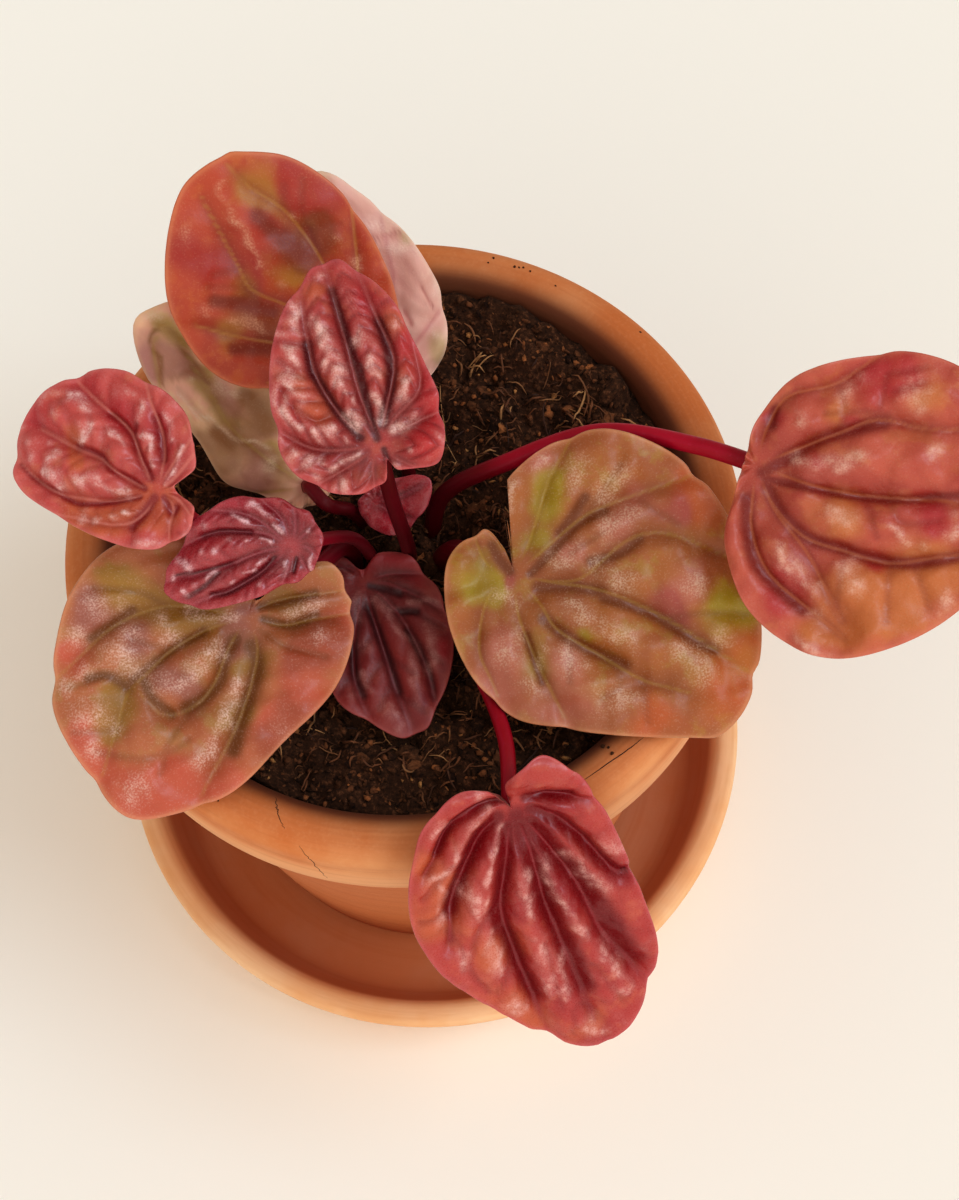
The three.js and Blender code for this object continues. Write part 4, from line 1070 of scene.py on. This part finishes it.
# The smallest leaf, in the crown: dark crimson.
grow_leaf(
    "small_crimson", beaded_crimson, rose_under, at=[-4, 4.5, 122], tip=[6, 6, 126],
    face=[-0.26, -0.49, 0.83], thick=1.8, root=[-3.5, 5.5], via=[[-3.8, 5.2, 114]],
    outline=[[11, 0], [9, -3.5], [5, -6.5], [0.5, -6.5], [-2.5, -3.5], [-3, 0.5], [-0.5, 2], [5, 2.5]],
    veins=[[[0, 0], [5, -1], [10, -0.5]], [[0, 0], [2, -3], [5, -5.5]], [[0, 0], [4, 1.5]]],
    ripple=0.9, furrow=1.2, cup=0, droop=0.5, wave=0.2, beads=(2.2, 0.1), lumps=0.1, grid=(120, 24),
    tints=[[(2, -3, 4)]])

# The round leaf at the right: olive and orange with yellow-green streaks, softly swollen, with painted
# highlights on the swellings.
olive_orange = leaf_skin("leaf_skin_olive_orange", ("#a8642e", "#a05a30", "#a47a30"), "#70360f", "#b49430",
                         "#dca078", "#dcbea6", ("#a89a1c", "#b86a58", "#bc5a26", "#a04644"),
                         line=0.15, roughness=0.36, shine=0.5, pebble=0.25, grit=0.13, thread=0.22)
grow_leaf(
    "right_olive", olive_orange, rose_under, at=[18.5, -16.5, 132], tip=[48.5, -44.5, 121],
    face=[-0.02, -0.39, 0.92], thick=3, root=[5, -2], via=[[9, -5.6, 121], [14, -11, 127]],
    outline=[
        [44, 1.5], [40, -2.5], [31.5, -9], [22, -15], [14.5, -18.5], [5, -17.5], [-4, -12.5], [-10, -5],
        [-9, 2.5], [-4.5, 2.5], [-1, 1], [-3, 4], [-10, 9], [-10.5, 16], [-7.5, 24], [-2, 29.5], [8, 32.5],
        [17.5, 31.5], [28.5, 26.5], [38, 19], [43.5, 9.5]
    ],
    veins=[
        [[0, 0], [1, 5.5], [3, 15.5], [5, 19.5], [10.5, 28.5]], [[0, 0], [-1.5, 6], [-5.5, 16], [-6.5, 21]],
        [[0, 0], [5.5, 3], [13.5, 7.5], [24.5, 10.5], [38, 12]],
        [[0, 0], [6.5, -1], [11, -2.5], [18.5, -1.5], [28, 0], [32.5, 2]],
        [[0, 0], [4.5, -4.5], [11.5, -8.5], [18, -11.5]], [[0, 0], [-1, -5.5], [3.5, -13.5], [8, -16]],
        [[0, 0], [-4.5, -1.5], [-9.5, 1]], [[5.5, 3], [9, 6.5], [11, 16.5], [14.5, 21], [25.5, 25]]
    ],
    branches=[
        [[24.5, 10.5], [29, 15.5], [34.5, 19.5]], [[23, -1], [25.5, -3], [24.5, -6.5]],
        [[3, 15.5], [2.5, 21], [2, 25.5]], [[8.5, 23], [16, 24]], [[14.5, -3], [18.5, -8]],
        [[28, 0], [33, -5]], [[5, 9], [7, 15]]
    ],
    ripple=2.1, furrow=3.0, cup=-1, droop=2, wave=0.4, beads=(10, 0.1), lumps=0.4,
    lights=[
        (1.5, [[5.5, 10], [4, 6.5]]), (1.8, [[10.5, 10], [15.5, 11]]), (1.6, [[10.5, 2], [16.5, 2.5]]),
        (1.6, [[19.5, 3], [22, 3.5]]), (2.2, [[31, 8.5], [35, 7]]), (1.7, [[6.5, -8.5]]), (2.0, [[7.5, -11]]),
        (0.9, [[11.5, -6.5], [13.5, -9]]), (1.5, [[14.5, -4], [17.5, -6.5]]), (1.2, [[18, -4]]),
        (1.2, [[13.5, -12.5], [15, -12.5]]), (1.7, [[24, -6], [27.5, -4]]), (1.0, [[-10, 11], [-7.5, 7.5]]),
        (1.5, [[-9, 18]]), (1.8, [[-3, 21], [-3, 18.5]]), (1.5, [[3, 24.5], [3, 19.5]]),
        (2, [[7.5, 16], [8.5, 19.5]]), (1.3, [[1, -4], [3.5, -4]]), (1.8, [[24.5, 18]]), (1.5, [[33.5, 14]])
    ],
    shades=[
        (1.1, [[14, 6.5], [20.5, 9], [25, 10], [30, 10.5], [34, 11.5]]),
        (1.3, [[8.5, -2.5], [12, -2.5], [16, -2], [20, -1], [24, 0]]),
        (0.9, [[2, 2], [2.5, 8], [3, 13.5], [5, 18]]), (1.0, [[8.5, 10], [11.5, 14], [12.5, 18]]),
        (1.1, [[-6, 1.5], [-3.5, 0.5], [-1, 0]]), (0.8, [[8, -6.5], [11, -8.5], [15, -11]]),
        (1.1, [[1, 17.5], [1.5, 13], [1.5, 10.5]]), (1.3, [[4.5, 1], [8.5, 4.5], [13, 7]])
    ],
    depth=0.4,
    tints=[
        [
            (-4.5, -4.5, 4), (-0.5, -4.5, 3), (0, 6.5, 3), (-3, 12, 3), (-5, 16.5, 3), (11.5, -9, 3),
            (32, 18, 4), (17, -1, 2.5), (39, 13.5, 3)
        ],
        [
            (-9, 18, 3), (8, 17.5, 4), (8.5, 23.5, 3), (7, -10.5, 4), (5, 9, 3), (10, -17.5, 5), (21, -13, 5),
            (23.5, 17.5, 4), (16.5, -5, 4)
        ],
        [(38.5, 15.5, 4), (40.5, 8, 6), (15.5, 34, 5), (33.5, -4, 4), (15.5, 29.5, 5)],
        [(14, 26, 3), (22.5, 13, 3), (0.5, 0, 1.5), (26, 11.5, 3)]
    ])

# The leaf that reaches far out to the right on the longest stalk: coral, lit with orange veins.
coral_orange = leaf_skin("leaf_skin_coral_orange", ("#c05c46", "#b44e3e", "#c46e48"), "#7c1e14", "#c4703c",
                         "#d4806a", "#e8beaa", ("#c47638", "#b0202e"),
                         line=0.4, roughness=0.33, shine=0.6, pebble=0.4, thread=0.32)
grow_leaf(
    "far_coral", coral_orange, rose_under, at=[60, -7.5, 146], tip=[99.5, -20, 150], face=[-0.21, -0.39, 0.9],
    thick=3, root=[5, 4.5], via=[[8, 6.8, 117], [19.2, 6.4, 128], [35.7, 7.2, 134.5], [51.6, 0.2, 139.5]],
    outline=[
        [42, -1], [38, 12.5], [31.5, 19.5], [21.5, 21.5], [12, 19], [3.5, 14.5], [-1, 7.5], [-2, 1.5],
        [-3, -5.5], [-3.5, -13], [1, -22.5], [8.5, -28], [17, -29.5], [26.5, -26], [34.5, -20], [40.5, -11.5]
    ],
    veins=[
        [[0, 0], [6, 3.5], [12.5, 7], [18.5, 10], [26.5, 9.5], [37, 11]],
        [[0, 0], [9.5, -2], [18, -2.5], [27, -2], [40, -1]],
        [[0, 0], [2.5, -5], [9, -10.5], [16, -12], [23.5, -13], [31, -11], [39, -9]],
        [[0, 0], [0, -6.5], [0.5, -10.5], [4.5, -17.5], [13, -23]],
        [[0, 0], [3.5, -6.5], [10, -13], [14.5, -19.5]], [[0, 0], [0.5, 5], [3, 11.5], [11, 15], [15, 18.5]]
    ],
    branches=[
        [[10, 10], [16.5, 11], [20, 11]], [[19, 17.5], [25, 19.5]], [[20.5, 15], [25, 17]],
        [[22.5, -3.5], [24.5, -6], [30.5, -5]], [[18, -2.5], [21, -9]], [[12.5, 7], [13, 11], [11.5, 14.5]],
        [[16, -12], [16, -21]], [[23.5, -13], [24.5, -22.5]], [[18.5, 10], [19, 17]],
        [[27.5, -12.5], [31, -19.5]]
    ],
    ripple=2.3, furrow=2.6, cup=-2, droop=1.5, wave=0.6, beads=(7, 0.15), lumps=0.45,
    lights=[
        (1.1, [[6, 9]]), (1.3, [[6.5, 1.5], [12, 2], [17, 3.5]]), (1.2, [[13, -6], [16.5, -7]]),
        (0.7, [[23, -7], [26, -9.5]]), (0.8, [[29, -9.5]]), (1.3, [[5.5, -13], [8.5, -16], [11.5, -18.5]]),
        (1.4, [[17, -14.5], [18.5, -17.5]]), (1.2, [[32.5, -7]]), (1.0, [[33, -3.5]]),
        (0.9, [[11, -27.5], [13.5, -29], [16, -29]]), (1.0, [[15, 16.5]]), (1.6, [[12.5, 13.5]]),
        (2.0, [[24, 14.5]]), (1.4, [[34, -17.5]]), (1.2, [[28.5, 6]]), (1.2, [[13, -23]])
    ],
    shades=[
        (1.3, [[1, -1], [5.5, 2.5], [9.5, 5.5], [15, 8], [19.5, 9.5]]),
        (0.8, [[1.5, -2], [8.5, -2.5], [16.5, -3], [24, -2.5], [28, -1.5], [33, -0.5]]),
        (1.2, [[2, -3], [5, -7], [9.5, -10.5], [15.5, -11.5], [21.5, -12.5], [27.5, -12.5], [34.5, -10.5]]),
        (1.2, [[-1, -5.5], [0, -11], [2, -16], [5.5, -19], [10.5, -22.5]]), (1.0, [[1.5, 9.5], [1.5, 7]])
    ],
    depth=0.5,
    tints=[
        [
            (19, -21.5, 6), (25, -18, 6), (31.5, -13, 6), (15, -25, 4), (15.5, -6, 4), (25.5, 15.5, 4),
            (12.5, 10, 3)
        ],
        [
            (17.5, 16, 3.5), (22, 18.5, 4), (7, -19.5, 3.5), (28.5, -4, 3.5), (2, 7.5, 2.5), (15.5, 8.5, 2),
            (21.5, -12.5, 2), (8.5, 2, 2), (39, 4, 5)
        ]
    ])

# The leaf that hangs over the front of the rim: coral, with deep crimson grooves darkened by painted
# shade, painted highlights on the ripples and dark crimson patches of painted shade.
coral_crimson = leaf_skin("leaf_skin_coral_crimson", ("#b8443c", "#ae3432", "#c25a44"), "#76000c",
                          "#ac2030", "#ce686c", "#e8b4aa", ("#c46238", "#980818"),
                          line=0.6, roughness=0.3, shine=0.7, pebble=0.5, wet=0.15)
grow_leaf(
    "front_coral", coral_crimson, rose_under, at=[14.5, -56, 126], tip=[27, -87.5, 88],
    face=[0.14, -0.74, 0.66], thick=2.6, root=[3.5, -7.5], via=[[8.7, -20.5, 114.8], [14.2, -42, 123]],
    outline=[
        [50.5, -1], [46.5, -8], [37, -14.5], [26, -20.5], [15, -23], [4.5, -20.5], [-3.5, -15], [-7.5, -9],
        [-6, -3], [-1.5, -0.5], [-5, 0.2], [-7.6, 3.2], [-8, 8], [-2, 12], [8, 14], [24.5, 14.5], [37, 13.5],
        [46.5, 7.5]
    ],
    veins=[
        [[0, 0], [7, 0], [13.5, -0.5], [19.5, -1], [27, -1], [38, -1], [42.5, -1]],
        [[0, 0], [5.5, -3], [11, -5.5], [16, -8], [27.5, -9], [39, -9]],
        [[0, 0], [1, -4.5], [6, -10.5], [13, -16], [16.5, -17.5]],
        [[0, 0], [-3, -3.5], [-2, -10.5], [2, -15]], [[0, 0], [7.5, 2.5], [17.5, 5], [29.5, 6], [39, 9]],
        [[0, 0], [2, 4.5], [10, 9], [18.5, 12], [19, 14.5]], [[0, 0], [-1, 4.5], [1.5, 9.5]]
    ],
    branches=[
        [[15.5, -8], [17.5, -12.5], [20.5, -15], [25.5, -17], [31, -15.5]], [[4.5, -13], [8.5, -19.5]],
        [[27.5, -9], [31.5, -14.5]], [[26, -3.5], [31.5, -4], [40, -5.5]], [[27, -2], [37.5, -3]],
        [[41, -2], [46, 0.5], [50.5, -0.5]], [[41.5, -3.5], [46, -5]], [[33.5, 2.5], [43.5, 5]],
        [[16, -18], [20.5, -17], [24.5, -18]], [[13, -16], [12.5, -21.5]]
    ],
    ripple=3.2, furrow=2.2, cup=-1.5, droop=2, wave=0.6, beads=(4.5, 0.3), lumps=0.35, depth=1.1,
    lights=[
        (0.9, [[-2, -4], [-1, -7.5], [2.5, -11], [4.5, -13.5], [6.5, -18]]),
        (0.6, [[1.5, -3], [6, -6.5], [10.5, -9]]), (1.0, [[-3.5, -12], [-2, -13.5]]), (0.9, [[-6, -4]]),
        (0.8, [[8.5, -16], [14, -18.5]]), (1.3, [[20.5, -11.5], [24.5, -12.5], [27.5, -12.5]]),
        (1.1, [[11.5, -2.5], [15.5, -3.5], [19, -4]]), (1.0, [[24, -4.5], [30, -5], [36, -6]]),
        (0.7, [[30, -2], [35, -3], [38.5, -4]]), (0.9, [[11, 1], [16, 1], [22, 2], [27.5, 3.5]]),
        (1.3, [[12, 5.5], [16, 7], [19.5, 9]]), (1.1, [[31.5, 5], [37, 6], [41, 6]]),
        (1.3, [[34.5, -12.5], [37, -12]]), (1.4, [[46, -2], [47.5, -1]]), (0.9, [[21, -17], [24, -18]]),
        (1.6, [[10.5, -12.5], [14, -12]]), (1.6, [[12, 12.5], [14, 13]]), (0.8, [[14, -11.5], [13, -9.5]])
    ],
    shades=[
        (2.1, [[1, 0], [7, -0.5], [13.5, -0.5], [19.5, -1], [26, -0.5], [32.5, 0], [37.5, 0]]),
        (2.5, [[3.5, 1.5], [10, 3], [16, 5.5], [21, 6.5], [25.5, 7.5], [33, 8.5], [37, 9.5]]),
        (1.8, [[2.5, -2], [7.5, -4.5], [13, -7], [17.5, -9.5], [22.5, -9], [30, -9], [36, -8.5]]),
        (1.7, [[0, -3], [1.5, -6.5], [5, -10], [9, -13.5], [13, -16]]),
        (1.5, [[1, 2.5], [5, 6], [10, 8.5], [14.5, 10], [18.5, 13]]),
        (0.8, [[-2.5, -0.5], [-3.5, -4.5], [-3.5, -8.5], [-0.5, -12.5], [1.5, -14.5]]),
        (1.1, [[-1.5, 2.5], [0, 7], [1, 9.5]])
    ],
    tints=[
        [
            (8.5, -16.5, 5), (14, -18.5, 4), (23.5, -12, 4), (35.5, -13, 4), (43.5, -11, 4), (46, -2, 3),
            (1.5, -17, 3)
        ],
        [
            (19, 13, 2.5), (4, -8, 3), (4, 4.5, 3), (18, -4.5, 3), (18, 3.5, 4), (28, 6.5, 3), (3.5, 0, 3),
            (7, 1, 3), (10, 3, 3), (6, -3, 2.5), (14, 0.5, 2)
        ]
    ])

# Floor, light and camera
# A plain cream surface. A big warm soft light fills the front, and a cooler, weaker lamp stands high on
# the right.
cream, tree, shader = new_material("cream_surface_matt")
# Smooth matt card: almost even, with the faintest cloudiness over a third of a metre.
place = add(tree, "ShaderNodeTexCoord", out="Object")
cloud = add(tree, "ShaderNodeTexNoise", {"Vector": place, "Scale": 3.0, "Detail": 2.0})
card = lay(tree, paint("#f5f1e9"), [(cloud, 0.0, 1.0, 1.0, "#f7f3eb")])
feed(tree, shader, {"Base Color": card, "Roughness": 0.9, "Specular IOR Level": 0.2})
floor_half = 3000
corners = [[x * floor_half, y * floor_half, 0] for x, y in ((-1, -1), (1, -1), (1, 1), (-1, 1))]
floor = make_object("floor", corners, [[0, 1, 2, 3]], [cream])

key_from = Vector((0.50, -0.18, 0.85))
key = bpy.data.lights.new("soft_key", "SUN")
key.energy = 0.8
key.angle = math.radians(24)
key.color = paint("#d0e8ff")[:3]
key_holder = bpy.data.objects.new("soft_key", key)
key_holder.rotation_euler = key_from.to_track_quat("Z", "Y").to_euler()
bpy.context.scene.collection.objects.link(key_holder)

glow_from = Vector((0.25, -0.75, 0.6)).normalized()
dimmest, brightest = 0.47, 1.27
room = bpy.data.worlds.new("pale_room")
room.use_nodes = True
tree = room.node_tree
sky = add(tree, "ShaderNodeTexCoord", out="Generated")
glow = add(tree, "ShaderNodeVectorMath", {0: sky, 1: tuple(glow_from)}, "Value", operation="DOT_PRODUCT")
glow = add(tree, "ShaderNodeMapRange", {0: glow, 1: -0.1, 2: 0.9, 3: dimmest, 4: brightest},
           interpolation_type="SMOOTHSTEP")
feed(tree, tree.nodes["Background"], {"Color": paint("#fff9f0"), "Strength": glow})
bpy.context.scene.world = room
# The photograph has a film-like contrast: the pale tones stay, the dark ones deepen.
bpy.context.scene.view_settings.view_transform = "Standard"
bpy.context.scene.view_settings.gamma = 0.85

# The camera stands in front of the pot and looks steeply down at it, with a slight tilt.
stand = (0.0123, -0.2037, 0.5632)
pitch, roll = math.radians(66.97), math.radians(-5.84)
aim = Vector((0, math.cos(pitch), -math.sin(pitch)))
level = Vector((1, 0, 0))
top_way = level.cross(aim)
right = level * math.cos(roll) + top_way * math.sin(roll)
upward = top_way * math.cos(roll) - level * math.sin(roll)
camera = bpy.data.objects.new("camera", bpy.data.cameras.new("camera"))
camera.data.lens = 84
turned = Matrix((right, upward, -aim)).transposed().to_4x4()
camera.matrix_world = Matrix.Translation(stand) @ turned
bpy.context.scene.collection.objects.link(camera)
bpy.context.scene.camera = camera

bpy.context.view_layer.update()
